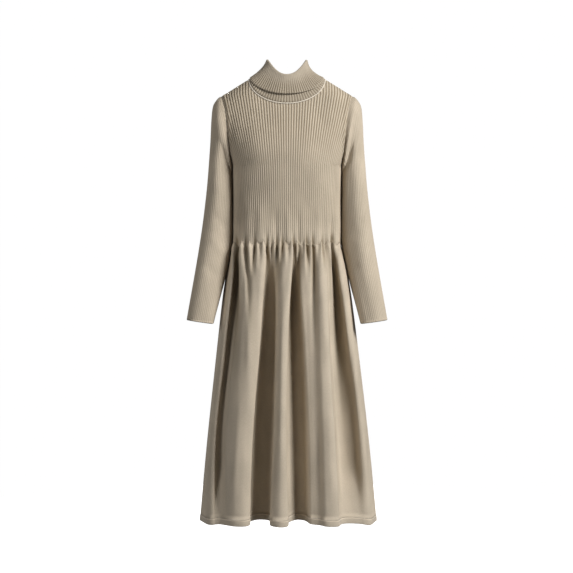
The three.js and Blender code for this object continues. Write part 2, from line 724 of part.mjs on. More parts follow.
// Middle of the sleeve cloth: ring 0 is the armhole, the rest follow the table
function sleevePoint(ring, angle) {
  if (ring === 0) {
    const { p, n } = armholeFrame(angle);
    const next = armholeFrame(angle + 0.05).p.sub(armholeFrame(angle - 0.05).p).normalize();
    const away = new THREE.Vector3().crossVectors(next, n).normalize();
    if (away.x < 0) away.negate();
    const under = underarm(angle);
    p.addScaledVector(away, SEAM_GAP * 2 * (1 - under));
    p.x += under * (2 * (WALL / 2 + RIB_RAISE * RIB_END) + SEAM_GAP * 1.6);
    return p;
  }
  const row = SLEEVE_RINGS[ring - 1];
  const outward = 0.5 + Math.cos(angle) / 2;
  return new THREE.Vector3(
    mix(row.inX, row.outX, outward),
    row.y - row.half * Math.sin(angle) + row.tuck * (1 - outward) ** 2,
    mix(row.inZ, row.outZ, outward),
  );
}

function sleeveNormal(ring, angle) {
  const last = SLEEVE_RINGS.length;
  const round = sleevePoint(ring, angle + 0.1).sub(sleevePoint(ring, angle - 0.1));
  const a = sleevePoint(Math.max(0, ring - 1), angle);
  const b = sleevePoint(Math.min(last, ring + 1), angle);
  const own = new THREE.Vector3().crossVectors(round, b.sub(a)).normalize();
  if (ring > 0) return own;
  return armholeFrame(angle).n.lerp(own, underarm(angle)).normalize();
}

function sleeve(name, sign) {
  const ringRow = (ring, count, offset, raised) =>
    Array.from({ length: count }, (_, i) => {
      const angle = (i / count) * 2 * Math.PI;
      const end = ring === 0 ? RIB_END : 1;
      const rise = raised && i % 2 === 0 ? RIB_RAISE * end : 0;
      const p = sleevePoint(ring, angle);
      p.addScaledVector(sleeveNormal(ring, angle), offset + rise);
      p.x *= sign;
      return { at: i / count, p };
    });
  const rings = Array.from({ length: SLEEVE_RINGS.length + 1 }, (_, i) => i);
  const outer = rings.map((ring) => ringRow(ring, SLEEVE_RIBS * 2, WALL / 2, true));
  const innerCount = (ring) => (ring === 0 ? SLEEVE_RIBS * 2 : SLEEVE_INNER_COLUMNS);
  const inner = rings.map((ring) => ringRow(ring, innerCount(ring), -WALL / 2, false));
  return ringSolid(name, KNIT.rib, [...outer, ...inner.reverse()], sign < 0);
}

// Skirt

// Plan of one skirt face at height z: points through its fold lines, side seam to side seam
function skirtPlan(face, folds, z) {
  const middle = tableAt(SKIRT_SHAPE, "middle", z);
  const halfWidth = tableAt(SKIRT_SHAPE, "halfWidth", z);
  const ridge = tableAt(SKIRT_SHAPE, face.depth, z);
  const down = clamp((WAIST_Z - z) / (WAIST_Z - HEM_Z), 0, 1);
  const reach = VALLEY_REACH.top + VALLEY_REACH.more * (1 - (1 - down) ** VALLEY_REACH.power);
  const fading = smooth((FADE_Z - z) / (FADE_Z - HEM_Z));
  const knots = folds.map((fold) => {
    const deep = mix(fold.deep, fold.hem ?? fold.deep, fading);
    const x = clamp(curveThrough(FOLD_STATIONS, fold.at, z) - middle, -halfWidth, halfWidth);
    const y = ridge * fullness(x / halfWidth) * (1 - deep * reach);
    return new THREE.Vector3(x + middle, face.sign * y, deep);
  });
  const seam = face.sign * (SEAM_GAP / 2);
  const ends = [-1, 1].map((side) => new THREE.Vector3(middle + side * halfWidth, seam, 0.3));
  return new THREE.CatmullRomCurve3([ends[0], ...knots, ends[1]], false, "centripetal");
}

function gatherRise(gathers, x, z) {
  const below = WAIST_Z - z;
  return gathers.reduce((sum, gather) => {
    const near = Math.abs(x - gather.x) / (GATHER_WIDTH * (1 + below / GATHER_SPREAD));
    if (near > 1) return sum;
    const fade = Math.exp(-((below / gather.long) ** 2));
    const seam = mix(0.4, 1, smooth(below / 10));
    return sum + gather.out * fade * seam * Math.cos((near * Math.PI) / 2) ** 2;
  }, 0);
}

// Points along the plan, so many to a fold line, moved out by the gathers and by offset
function skirtRow(face, folds, gathers, z, columns, offset, lift) {
  const plan = skirtPlan(face, folds, z);
  const count = (folds.length + 1) * face[columns] + 1;
  return Array.from({ length: count }, (_, i) => {
    const u = i / (count - 1);
    const p = plan.getPoint(u);
    const t = plan.getTangent(u);
    const n = new THREE.Vector3(-t.y, t.x, 0).normalize().multiplyScalar(face.sign);
    const deep = p.z;
    const edge = i === 0 || i === count - 1;
    if (edge) n.set(Math.sign(p.x), 0, 0);
    const rise = edge ? 0 : gatherRise(gathers, p.x, z);
    p.addScaledVector(n, offset + rise);
    p.y = face.sign * Math.max(SEAM_GAP / 2, face.sign * p.y);
    const toSide = Math.abs(p.x / HEM_EDGE.halfWidth) ** 4;
    p.z = z + lift * (HEM_EDGE.valleyRise * deep - HEM_EDGE.sideDrop * toSide);
    return { at: u, p };
  });
}

function skirtPanel(name, face, folds, gathers) {
  const sheet = (offset) => ({
    rows: SKIRT_ROWS.map(({ down, columns }) => {
      const z = mix(SKIRT_TOP_Z, HEM_Z + HEM_HEIGHT + SEAM_GAP, down);
      return skirtRow(face, folds, gathers, z, columns, offset, down);
    }),
  });
  return openWall(name, KNIT.plain, sheet(WALL / 2), sheet(-WALL / 2), face === FRONT);
}

function hemBand(name, face, folds, gathers) {
  const sheet = (offset) => ({
    rows: [HEM_Z, HEM_Z + HEM_HEIGHT].map((z) =>
      skirtRow(face, folds, gathers, z, "coarse", offset, 1),
    ),
  });
  return openWall(name, KNIT.plain, sheet(HEM_WALL / 2), sheet(-HEM_WALL / 2), face === BACK);
}

const dress = new THREE.Group();
dress.add(
  bodicePanel("bodice_front", FRONT),
  bodicePanel("bodice_back", BACK),
  neckBand(),
  collar(),
  sleeve("sleeve_left", -1),
  sleeve("sleeve_right", 1),
  skirtPanel("skirt_front", FRONT, FRONT_FOLDS, FRONT_GATHERS),
  skirtPanel("skirt_back", BACK, BACK_FOLDS, BACK_GATHERS),
  hemBand("hem_front", FRONT, FRONT_FOLDS, FRONT_GATHERS),
  hemBand("hem_back", BACK, BACK_FOLDS, BACK_GATHERS),
);

export default dress;
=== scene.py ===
import math

import bpy
import numpy as np
from bpy.props import FloatProperty, FloatVectorProperty, PointerProperty
from bpy.types import Operator, Panel, PropertyGroup
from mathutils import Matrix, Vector


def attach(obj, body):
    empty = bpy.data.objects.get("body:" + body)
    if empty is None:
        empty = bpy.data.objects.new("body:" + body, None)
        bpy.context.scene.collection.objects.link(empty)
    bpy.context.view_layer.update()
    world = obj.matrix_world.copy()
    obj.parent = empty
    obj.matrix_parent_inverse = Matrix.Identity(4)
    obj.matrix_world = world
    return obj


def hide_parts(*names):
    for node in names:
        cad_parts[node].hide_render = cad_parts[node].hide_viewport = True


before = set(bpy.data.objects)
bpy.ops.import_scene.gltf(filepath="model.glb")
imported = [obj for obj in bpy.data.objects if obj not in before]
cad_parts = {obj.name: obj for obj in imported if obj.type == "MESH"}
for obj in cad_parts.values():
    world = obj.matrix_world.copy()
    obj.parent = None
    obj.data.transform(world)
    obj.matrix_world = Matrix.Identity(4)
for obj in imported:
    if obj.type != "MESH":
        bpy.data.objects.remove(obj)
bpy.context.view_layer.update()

bl_info = {
    "name": "Sweater dress",
    "version": (1, 0, 0),
    "blender": (4, 5, 0),
    "location": "3D View > Sidebar > Dress",
    "description": "A ribbed sweater dress with a doubled collar and a gathered skirt",
    "category": "Add Mesh",
}

# Shapes are worked out in millimetres, like the solids, and turned to metres in the meshes
MM = 0.001

# Body of the dress, with the same sizes as the solids
WALL = 2.4
SEAM_GAP = 0.3
PANEL_RIBS = 36
TOP_PITCH = 7.1
TOP_PITCH_Z = -40
WAIST_Z = -412
WAIST_HALF_WIDTH = 132.5
ARMPIT_Z = -218
CHEST_HALF_WIDTH = 134.5
SHOULDER_SPREAD = 43
SHOULDER_RISE = 178
SHOULDER_SLOPE = 0.63
SHOULDER_ROUND = 45
SHOULDER_TIP_X = 162.5
NECK_HALF_WIDTH = 96.5
NECK_END_Z = 1
TORSO_POWER = 2.4

# Height, depth in front and depth behind
TORSO_DEPTHS = [
    (-412, 82, 76), (-350, 84, 72), (-290, 90, 74), (-230, 98, 79), (-190, 100, 80),
    (-150, 92, 80), (-110, 78, 77), (-66, 60, 66), (-40, 52, 56), (5, 45, 42),
]

# Height and distance from the middle of the armhole seam
ARMHOLE = [
    (-218, 134.5), (-198, 137.5), (-173, 140), (-148, 142.5), (-123, 145),
    (-98, 148), (-78, 151), (-58, 156), (-40.58, 162.5),
]

# Sleeve rings: outer edge x and z, inner edge x and z, half depth, forward shift,
# tuck of the inner edge behind the body, and reach of its back behind the body
SLEEVE_RINGS = [
    (171, -46, 138, -222, 51, 0, 0, 0), (182, -62, 138, -228, 49, 0, 0, 3),
    (186.5, -95, 138, -238, 46, 0, 6, 6), (189.5, -160, 138, -258, 44, -5, 6, 8),
    (198, -275, 137.4, -313, 42, -11, 12, 5), (214, -400, 136.5, -402, 40, -12, 26, 0),
    (246, -596, 184, -605, 31, -35, 0, 0),
]
SLEEVE_RIBS = 46
ARMPIT_WIDTH = 14
UNDERARM_FROM = 1.5

# The arm's own line and size, which the sleeve's ribs follow: z, middle x, half width, half depth
ARM_LINE = [
    (-40, 138, 40, 50), (-95, 152, 37, 48), (-160, 163, 30, 45), (-260, 168, 30, 43),
    (-315, 171, 32, 42), (-400, 179, 37, 40), (-600, 216, 32, 31),
]

# Linked seam round the neck, and the collar on it
NECK_BAND_HEIGHT = 3
NECK_BAND_THICK = 3.4
NECK_STITCH = 3.0
NECK_POINTS = 16
NECK_COLUMNS = 720
COLLAR_RIBS = 76
COLLAR_WALL = 2.2
COLLAR_LAYER = 4.2
COLLAR_RIM = {"half_width": 46, "front": 50, "back": 60, "side_z": 52, "front_z": 8, "back_z": 20}
COLLAR_BULGE = {"at": 0.42, "up": 9, "less_behind": 5, "backward": 12}
COLLAR_WAIST = {"left": (9, 8), "right": (15, 14)}

# Skirt and hem: how far the hem's edge rises in the valleys and drops at the sides, how much of
# a ridge's depth the deepest valley takes and how soon, and where hem depths start to count
SKIRT_TOP_Z = WAIST_Z - SEAM_GAP
HEM_Z = -1092
HEM_HEIGHT = 14
HEM_WALL = 3.2
HEM_EDGE = {"valley_rise": 5, "side_drop": 8, "half_width": 220}
VALLEY_REACH = {"more": 0.6, "power": 7}
FADE_Z = -940

# Height, half width, ridges in front, ridges behind and middle
SKIRT_SHAPE = [
    (-412, 133, 83, 77, 0), (-425, 137, 88, 80, 0), (-460, 146, 95, 85, 0),
    (-510, 155.5, 101, 89, 0), (-560, 162.5, 105, 93, 0.4), (-700, 179, 112, 101, 1.5),
    (-900, 201.5, 119, 111, 2.6), (-1100, 220.5, 125, 119, 3.2),
]
FOLD_STATIONS = [-412, -490, -640, -870, -1100]

# Fold lines: distance from the middle at the five stations, then 0 on a ridge to 1 in a valley
FRONT_FOLDS = [
    (-130, -139, -157, -184, -192, 0.08), (-127, -134, -151, -176, -182, 0.22),
    (-123.5, -130.5, -148, -171, -176, 0.62), (-118, -126, -141, -161, -164, 0.8),
    (-112, -121.5, -133, -150, -152, 0.56), (-106, -117, -128, -146, -147, 0.14),
    (-90, -96, -112, -121, -124, 0), (-68, -66, -77, -100, -102, 0.04),
    (-58, -60, -66, -84, -92, 0.2), (-50, -57, -64, -82, -92, 0.7),
    (-42, -46, -52, -64, -70, 1), (-34, -30, -31, -38, -46, 0.92),
    (-27, -25, -26, -31, -40, 0.55), (-20, -19, -22, -30, -39, 0.2),
    (-4, -2, -10, -14, -17, 0), (10, 8.5, 1.5, -3, 0, 0.08),
    (15, 12.5, 5, 0, 4, 0.6), (22, 20, 20, 20, 25, 1),
    (29, 26, 32, 40, 43, 0.88), (36, 33, 42, 53, 58, 0.4),
    (44, 44, 52, 60, 67, 0.34), (57, 59, 67, 75, 80, 0.25),
    (72, 76, 83, 90, 96, 0.04), (92, 94, 99, 112, 124, 0.02),
    (95, 96, 101.5, 116, 130, 0.48), (101, 102, 108, 126, 142, 1),
    (112, 119, 136, 161, 176, 0.86), (120, 132, 150, 179, 194, 0.24),
    (127, 142, 160, 187, 203, 0.02),
]
# Depths that some of the front's fold lines, counted from 0, fade to at the hem
FRONT_HEM_DEPTHS = {1: 0.1, 2: 0.2, 3: 0.26, 4: 0.18, 24: 0.26, 25: 0.42, 26: 0.36, 27: 0.14}
BACK_FOLDS = [
    (-126, -139, -156, -180, -196, 0.05), (-112, -122, -136, -152, -164, 0.55),
    (-98, -108, -120, -134, -144, 0.1), (-84, -92, -102, -112, -120, 0),
    (-70, -76, -84, -92, -100, 0.14), (-60, -64, -70, -77, -86, 0.6),
    (-48, -52, -56, -60, -66, 0.84), (-36, -39, -42, -43, -46, 0.2),
    (-18, -20, -20, -20, -20, 0), (-4, -3, -1, 2, 4, 0.16),
    (10, 12, 15, 19, 24, 0.72), (24, 27, 31, 36, 42, 0.62),
    (36, 40, 46, 52, 60, 0.12), (54, 60, 68, 76, 84, 0),
    (70, 77, 87, 98, 106, 0.12), (86, 94, 106, 122, 132, 0.7),
    (100, 110, 124, 144, 156, 0.2), (120, 134, 152, 174, 190, 0.02),
]

# Gathers below the waist seam: distance from the middle, height, length
FRONT_GATHERS = [
    (-130, 4.8, 90), (-110, 5.7, 110), (-91, 5.4, 130), (-73, 4.5, 70), (-58, 6, 110),
    (-44, 4.8, 60), (-31, 4.5, 55), (-17, 5.4, 90), (-4, 4.8, 70), (11, 6, 120),
    (25, 4.5, 60), (44, 5.7, 100), (59, 4.8, 75), (83, 6, 130), (99, 4.8, 80),
    (113, 5.4, 100), (128, 5.1, 90),
]
BACK_GATHERS = [
    (-127, 4.8, 90), (-111, 5.4, 80), (-96, 4.8, 110), (-80, 5.7, 90), (-66, 4.8, 70),
    (-50, 5.4, 100), (-34, 4.8, 60), (-19, 5.7, 100), (-3, 4.8, 80), (14, 5.4, 90),
    (29, 4.8, 65), (45, 5.7, 110), (60, 4.8, 75), (77, 5.4, 95), (94, 4.8, 80),
    (110, 5.4, 100), (126, 4.8, 85),
]
GATHER_WIDTH = 9
# Distance from the seam where a gather is full, and where it is twice as wide, on skirt and bodice
GATHER_START = 10
SKIRT_SPREAD = 120
BODICE_SPREAD = 90
# How far the gathers reach up the bodice, and how strongly there and in the skirt at the seam
GATHER_UP = 20
GATHER_PULL = 0.4
GATHER_AT_SEAM = 0.4

# How far each gather lifts the waist seam, how wide that tip is, and how it fades off the seam
TIP_RISE = 1.7
TIP_WIDTH = 3.6
TIP_FADE = 20

# Pinched creases between the gathers: distance from the middle, slant per millimetre down,
# depth, length below the seam
FRONT_PINCHES = [
    (-125, -0.03, 13, 260), (-102, 0.07, 9, 160), (-79, -0.1, 9, 60), (-49.5, -0.03, 9, 90),
    (-38, 0, 6, 30), (-26, 0.04, 9, 70), (-12.5, -0.08, 9, 50), (-3.5, 0, 5, 18),
    (15, -0.02, 10, 300), (28, 0, 6, 60), (39, 0, 4, 16), (47, 0.05, 11, 45),
    (62, 0.02, 13, 130), (85, 0.1, 9, 45), (94, 0.12, 6, 50), (110, 0.065, 18, 300),
    (129.5, 0, 4, 22),
]
BACK_PINCHES = [
    (-119, -0.05, 9, 80), (-103, -0.05, 6, 40), (-88, -0.08, 8, 100), (-73, -0.04, 7, 50),
    (-58, -0.03, 5, 30), (-42, -0.03, 9, 90), (-26, 0, 5, 40), (-11, 0, 8, 110), (6, 0, 5, 30),
    (21, 0.03, 7, 70), (37, 0.03, 9, 120), (53, 0.05, 6, 40), (68, 0.05, 7, 60),
    (86, 0.07, 9, 100), (102, 0.06, 6, 40), (118, 0.05, 8, 80),
]
# Half widths of a pinch's left and right flank, distance below the seam where it is twice as
# wide, its reach above the seam, its share in the bodice and in the skirt at the seam, and the
# depth at which the shade painted into it is darkest
PINCH_WIDTHS = (2.1, 5)
PINCH_SPREAD = 110
PINCH_UP = 22
PINCH_SHARE_UP = 0.35
PINCH_AT_SEAM = 0.35
FULL_SHADE_PINCH_DEPTH = 9

# Share of a soft line's length over which it fades at each end
LINE_FADE = 0.35

# Soft lines pressed into or raised from the cloth, in front and behind:
# first end x and z, second end x and z, half width, height out of the cloth
BODICE_LINES = {
    "front": [
        (-113, -320, -113, -440, 6, -3), (-27, -310, -27, -440, 7, -2.6), (28, -320, 28, -440, 6, -2.6),
        (109, -330, 110, -440, 3.6, -3.4), (-65, -300, -65, -440, 9, 2.2), (2, -310, 2, -440, 7, 2.4),
        (75, -300, 76, -440, 9, 2.4), (98, -320, 98, -440, 5, 1.6), (121, -310, 121, -440, 5, 2),
        (-92, -290, -94, -400, 8, 1.2), (48, -280, 50, -400, 10, -1.2), (-44, -270, -42, -380, 9, -1),
        (112, -120, 96, -205, 16, -1.4), (-112, -120, -98, -205, 16, -1.2),
    ],
    "back": [
        (-88, -310, -90, -405, 8, -1.8), (-50, -330, -52, -405, 7, 1.4), (0, -320, -2, -405, 9, -1.8),
        (46, -330, 48, -405, 7, 1.4), (92, -300, 90, -405, 8, -1.8), (-120, -310, -116, -405, 7, 1.4),
        (118, -310, 116, -405, 7, 1.5), (0, -60, 0, -250, 26, -2.2),
    ],
}
SKIRT_LINES = {
    "front": [
        (-84, -470, -96, -760, 8, 3.2), (-104, -440, -116, -620, 7, -2.2),
        (-68, -520, -84, -900, 8, -1.8), (-112, -760, -132, -1080, 9, 2.2),
        (-88, -800, -96, -1080, 11, -2), (-10, -520, -16, -980, 8, 2),
        (62, -450, 70, -700, 7, -2.4), (84, -470, 96, -720, 8, 2.4),
        (100, -760, 112, -1080, 10, 2.6), (74, -820, 78, -1080, 10, -2),
        (150, -560, 176, -1000, 6, -1.8), (-150, -560, -176, -1000, 5, 1.4),
    ],
    "back": [
        (-98, -470, -112, -800, 8, 2.4), (-76, -560, -90, -1000, 9, -1.8),
        (-22, -480, -24, -900, 8, 2), (52, -470, 62, -820, 8, 2.4),
        (76, -600, 88, -1040, 9, -1.8), (140, -520, 166, -1000, 7, -1.8),
        (-144, -540, -170, -1000, 7, -1.6),
    ],
}
SLEEVE_LINES = {
    "left": {
        "front": [
            (162, -10, 140, -205, 4, -7), (171, -60, 162, -200, 8, 3.4),
            (176, -180, 172, -300, 10, 1.6), (180, -330, 150, -380, 11, -2.2),
            (192, -380, 160, -440, 10, 1.8), (205, -450, 172, -500, 10, -1.6),
        ],
        "back": [
            (158, -110, 146, -270, 9, -5), (186, -330, 152, -390, 11, -2),
            (200, -400, 164, -450, 10, 1.6),
        ],
    },
    "right": {
        "front": [
            (172, -70, 147, -230, 7, -5), (160, -80, 143, -200, 5, 2.6),
            (184, -190, 176, -300, 10, 1.4), (196, -340, 158, -400, 11, -2),
            (206, -420, 168, -470, 10, 1.6),
        ],
        "back": [
            (160, -110, 147, -270, 9, -5), (190, -320, 154, -380, 11, -2),
            (206, -410, 166, -460, 10, 1.6),
        ],
    },
}

# The dress's two faces: side of y, drop of the neckline, column of the depth tables,
# points to a span between fold lines, and the tables above
FRONT = {
    "name": "front", "sign": -1, "neck_drop": 67, "depth": 1, "span_points": 13,
    "folds": FRONT_FOLDS, "hem_depths": FRONT_HEM_DEPTHS,
    "gathers": FRONT_GATHERS, "pinches": FRONT_PINCHES,
}
BACK = {
    "name": "back", "sign": 1, "neck_drop": 14, "depth": 2, "span_points": 15,
    "folds": BACK_FOLDS, "hem_depths": {},
    "gathers": BACK_GATHERS, "pinches": BACK_PINCHES,
}
FACES = (FRONT, BACK)

# Rows and columns of the cloth's points, and how the rows crowd towards a piece's top seam,
# or in the bodice towards the waist
BODICE_ROWS, BODICE_COLUMNS = 112, 361
BODICE_LOW = {"share": 0.36, "power": 1.6}
HALVINGS = 34
SLEEVE_ROWS, SLEEVE_CROWDING = 112, 1.25
SKIRT_ROWS, SKIRT_CROWDING = 112, 1.9
HEM_ROWS, HEM_SPAN_POINTS = 15, 12
POINTS_PER_RIB = 5

# Rolls in the cloth beside an edge: distance from the edge, half width, height
BODICE_ROLL = (6, 3.6, 2)
SLEEVE_ROLL = (5, 2.4, 0.6)
HEM_ROLL = (1.6, 0.9, 0.7)
# Share of a wall by which its edges are rounded, and rise of the bodice's shoulder edge
EDGE_ROUND = 0.45
SHOULDER_CROWN = 0.8
# Share of a rib's height that is left at an edge and at the waist, and height of a sleeve's
# ribs to the bodice's
RIB_AT_EDGE = 0.25
RIB_AT_WAIST = 0.05
SLEEVE_RIB_SHARE = 0.75
# Share of the shade painted into the bodice's rib grooves that is left low down and at the waist
GROOVE_SHADE_LOW = 0.5
GROOVE_SHADE_AT_WAIST = 0.06
# Distances at which forms start to show, and over which they grow to the full
FADES = {
    "bodice_lines_above_waist": (0, 8),
    "bodice_ribs_above_waist": (3, 50),
    "bodice_ribs_from_armhole": (3, 7),
    "armhole_above_armpit": (-30, 30),
    "shoulder_from_neck": (1, 4),
    "groove_shade_below_neck": (110, 150),
    "groove_shade_above_waist": (4, 75),
    "sleeve_own_direction": (0, 14),
    "sleeve_lines_from_armhole": (0, 25),
    "sleeve_lines_from_cuff": (0, 60),
    "sleeve_ribs_from_armhole": (0, 6),
    "skirt_pinches_below_waist": (0, 9),
    "skirt_lines_from_side": (0, 12),
}
# Turn round the armhole at which a sleeve reaches furthest behind the body, and its half width
BEHIND_BODY = (3.84, 0.44)
# Depth of the skirt's side seams between a ridge and a valley
SIDE_DEPTH = 0.3

# Stage in metres: place, size and strength setting of each light, and the point they face
LIGHTS = {
    "main_light": ((2.6, -2.05, 1.2), 1.25, "key_strength"),
    "fill_light": ((-2.75, -2.2, 0.25), 1.2, "fill_strength"),
    "back_light": ((-1.2, 3.4, 1.0), 1.6, "back_strength"),
}
LIGHT_TARGET = (0, 0, -0.5)
ROOM_LIGHT = 0.06
CAMERA_X = -0.00125
CAMERA_LENS = 80.4
CAMERA_SENSOR = 36
BACKDROP_RADIUS = 9
FLOOR_RADIUS = 1.6


def clamp(value, low=0.0, high=1.0):
    return np.minimum(high, np.maximum(low, value))


def mix(a, b, t):
    return a + (b - a) * t


def smooth(t):
    c = clamp(t)
    return c * c * (3 - 2 * c)


def fade_in(form, distance):
    """Share of a form that shows at a distance, 0 to 1."""
    start, over = FADES[form]
    return smooth((distance - start) / over)


def swell(x, at, width, height=1):
    """A rounded rise to the height at one place, falling away on both sides of it."""
    return height * np.exp(-(((x - at) / width) ** 2))


def unit(vectors):
    return vectors / np.maximum(np.linalg.norm(vectors, axis=-1, keepdims=True), 1e-9)


def curve_through(xs, ys, x):
    """A smooth curve through the points (xs, ys), read at x; ys may hold points."""
    xs, ys = np.asarray(xs, float), np.asarray(ys, float)
    if xs[0] > xs[-1]:
        xs, ys = xs[::-1], ys[::-1]
    before = np.concatenate([[0], np.arange(len(xs) - 1)])
    after = np.concatenate([np.arange(1, len(xs)), [len(xs) - 1]])
    run = (xs[after] - xs[before]).reshape((-1,) + (1,) * (ys.ndim - 1))
    slopes = (ys[after] - ys[before]) / run
    x = np.clip(np.asarray(x, float), xs[0], xs[-1])
    i = np.clip(np.searchsorted(xs, x) - 1, 0, len(xs) - 2)
    more = (slice(None),) * x.ndim + (None,) * (ys.ndim - 1)
    step = (xs[i + 1] - xs[i])[more]
    t = ((x - xs[i]) / (xs[i + 1] - xs[i]))[more]
    bend = (1 - t) ** 2
    return (
        ys[i] * bend * (1 + 2 * t)
        + slopes[i] * step * bend * t
        + ys[i + 1] * t * t * (3 - 2 * t)
        - slopes[i + 1] * step * t * t * (1 - t)
    )


def table_at(rows, column, z):
    table = np.array(rows, float)
    return curve_through(table[:, 0], table[:, column], z)


def torso_half_width(z):
    below = mix(WAIST_HALF_WIDTH, CHEST_HALF_WIDTH, (z - WAIST_Z) / (ARMPIT_Z - WAIST_Z))
    rise = clamp((z - ARMPIT_Z) / SHOULDER_RISE)
    above = CHEST_HALF_WIDTH + SHOULDER_SPREAD * np.sin(rise * math.pi / 2) ** 1.2
    return np.where(z <= ARMPIT_Z, below, above)


def shoulder_z(x):
    return NECK_END_Z - (np.abs(x) - NECK_HALF_WIDTH) * SHOULDER_SLOPE


def depth_at(face, z):
    return table_at(TORSO_DEPTHS, face["depth"], z)


def fullness(q):
    return np.maximum(0.0, 1 - np.abs(q) ** TORSO_POWER) ** (1 / TORSO_POWER)


def shoulder_rounding(x, z):
    s = clamp((shoulder_z(x) - z) / SHOULDER_ROUND)
    return np.sqrt(s * (2 - s))


def quarter_arc(face, z):
    """Lengths along a quarter of the torso's section at each height, middle to side."""
    angle = np.linspace(0, math.pi / 2, 121)
    power = 2 / TORSO_POWER
    x = torso_half_width(z)[:, None] * np.sin(angle) ** power
    y = depth_at(face, z)[:, None] * np.maximum(0, np.cos(angle)) ** power
    run = np.hypot(np.diff(x, axis=1), np.diff(y, axis=1))
    length = np.concatenate([np.zeros((len(z), 1)), np.cumsum(run, axis=1)], axis=1)
    return x, y, length


def read_rows(xs, ys, value):
    """Each row's ys at its own value of xs, which rise along the row."""
    i = np.clip((xs < value[:, None]).sum(1), 1, xs.shape[1] - 1)
    row = np.arange(len(value))
    a, b = xs[row, i - 1], xs[row, i]
    t = clamp((value - a) / np.maximum(b - a, 1e-9))
    return mix(ys[row, i - 1], ys[row, i], t)


def rib_pitch(face, z):
    length = quarter_arc(face, np.minimum(z, ARMPIT_Z))[2]
    even = length[:, -1] / PANEL_RIBS
    return mix(even, TOP_PITCH, clamp((z - ARMPIT_Z) / (TOP_PITCH_Z - ARMPIT_Z)))


def torso_point(face, rib, z):
    """Points on the middle of the bodice cloth, on rib lines rib and at heights z."""
    x_arc, y_arc, length = quarter_arc(face, z)
    along = np.abs(rib) * rib_pitch(face, z)
    x = np.sign(rib) * read_rows(length, x_arc, along)
    y = read_rows(length, y_arc, along) * shoulder_rounding(x, z)
    return np.stack([x, face["sign"] * y, z], axis=1)


def torso_at(face_sign, front_depth, back_depth, x, z):
    depth = np.where(face_sign < 0, front_depth, back_depth)
    y = depth * fullness(x / torso_half_width(z)) * shoulder_rounding(x, z)
    return np.stack([x, face_sign * y, z], axis=-1)


def torso_normal(face_sign, p):
    """Outward directions of the torso's surface, from the gradient of the shape it fills."""

    def filled(x, y, z):
        s = clamp((shoulder_z(x) - z) / SHOULDER_ROUND, -0.2, 1.0)
        plan = np.maximum(0, 1 - np.abs(x / torso_half_width(z)) ** TORSO_POWER)
        depth = np.where(face_sign < 0, depth_at(FRONT, z), depth_at(BACK, z))
        return (y / depth) ** 2 - s * (2 - s) * plan ** (2 / TORSO_POWER)

    step = 0.4
    x, y, z = p[..., 0], p[..., 1], p[..., 2]
    return unit(np.stack([
        filled(x + step, y, z) - filled(x - step, y, z),
        filled(x, y + step, z) - filled(x, y - step, z),
        filled(x, y, z + step) - filled(x, y, z - step),
    ], axis=-1))


def armhole_x(z):
    return table_at(ARMHOLE, 1, z)


def rib_at_armhole(face, z):
    x_arc, _, length = quarter_arc(face, z)
    edge = np.minimum(armhole_x(z), torso_half_width(z))
    return read_rows(x_arc, length, edge) / rib_pitch(face, z)


def neckline_z(face, x):
    q = clamp(1 - (x / NECK_HALF_WIDTH) ** 2)
    return NECK_END_Z - face["neck_drop"] * np.sqrt(q)


def panel_top_z(face, x):
    return np.where(np.abs(x) < NECK_HALF_WIDTH, neckline_z(face, x), shoulder_z(x))


def line_rise(lines, x, z):
    """Height of the soft lines at (x, z), each fading towards both of its ends."""
    rise = np.zeros_like(x)
    for x0, z0, x1, z1, width, height in lines:
        run = np.array([x1 - x0, z1 - z0], float)
        length = np.hypot(*run)
        along = ((x - x0) * run[0] + (z - z0) * run[1]) / length
        away = ((x - x0) * run[1] - (z - z0) * run[0]) / length
        over = LINE_FADE * length
        rise += smooth(along / over) * smooth((length - along) / over) * swell(away, 0, width, height)
    return rise


def rib_height(rib):
    """0 in a groove to 1 on a rib, with rounded ribs and narrower grooves."""
    return np.sqrt(np.clip(0.5 + 0.5 * np.cos(2 * math.pi * rib), 0, 1))


def grid_lengths(p):
    """Distances across and down a grid of points, from its first row and middle column."""
    across = np.cumsum(np.linalg.norm(np.diff(p, axis=1, prepend=p[:, :1]), axis=2), axis=1)
    across -= across[:, p.shape[1] // 2][:, None]
    down = np.cumsum(np.linalg.norm(np.diff(p, axis=0, prepend=p[:1]), axis=2), axis=0)
    return across, down


def row_or_column(grid, index, axis):
    return grid[index] if axis == 0 else grid[:, index]


def quads(ids):
    """The faces between the rows and columns of a grid of point numbers."""
    corners = [ids[:-1, :-1], ids[:-1, 1:], ids[1:, 1:], ids[1:, :-1]]
    return np.stack(corners, axis=-1).reshape(-1, 4)


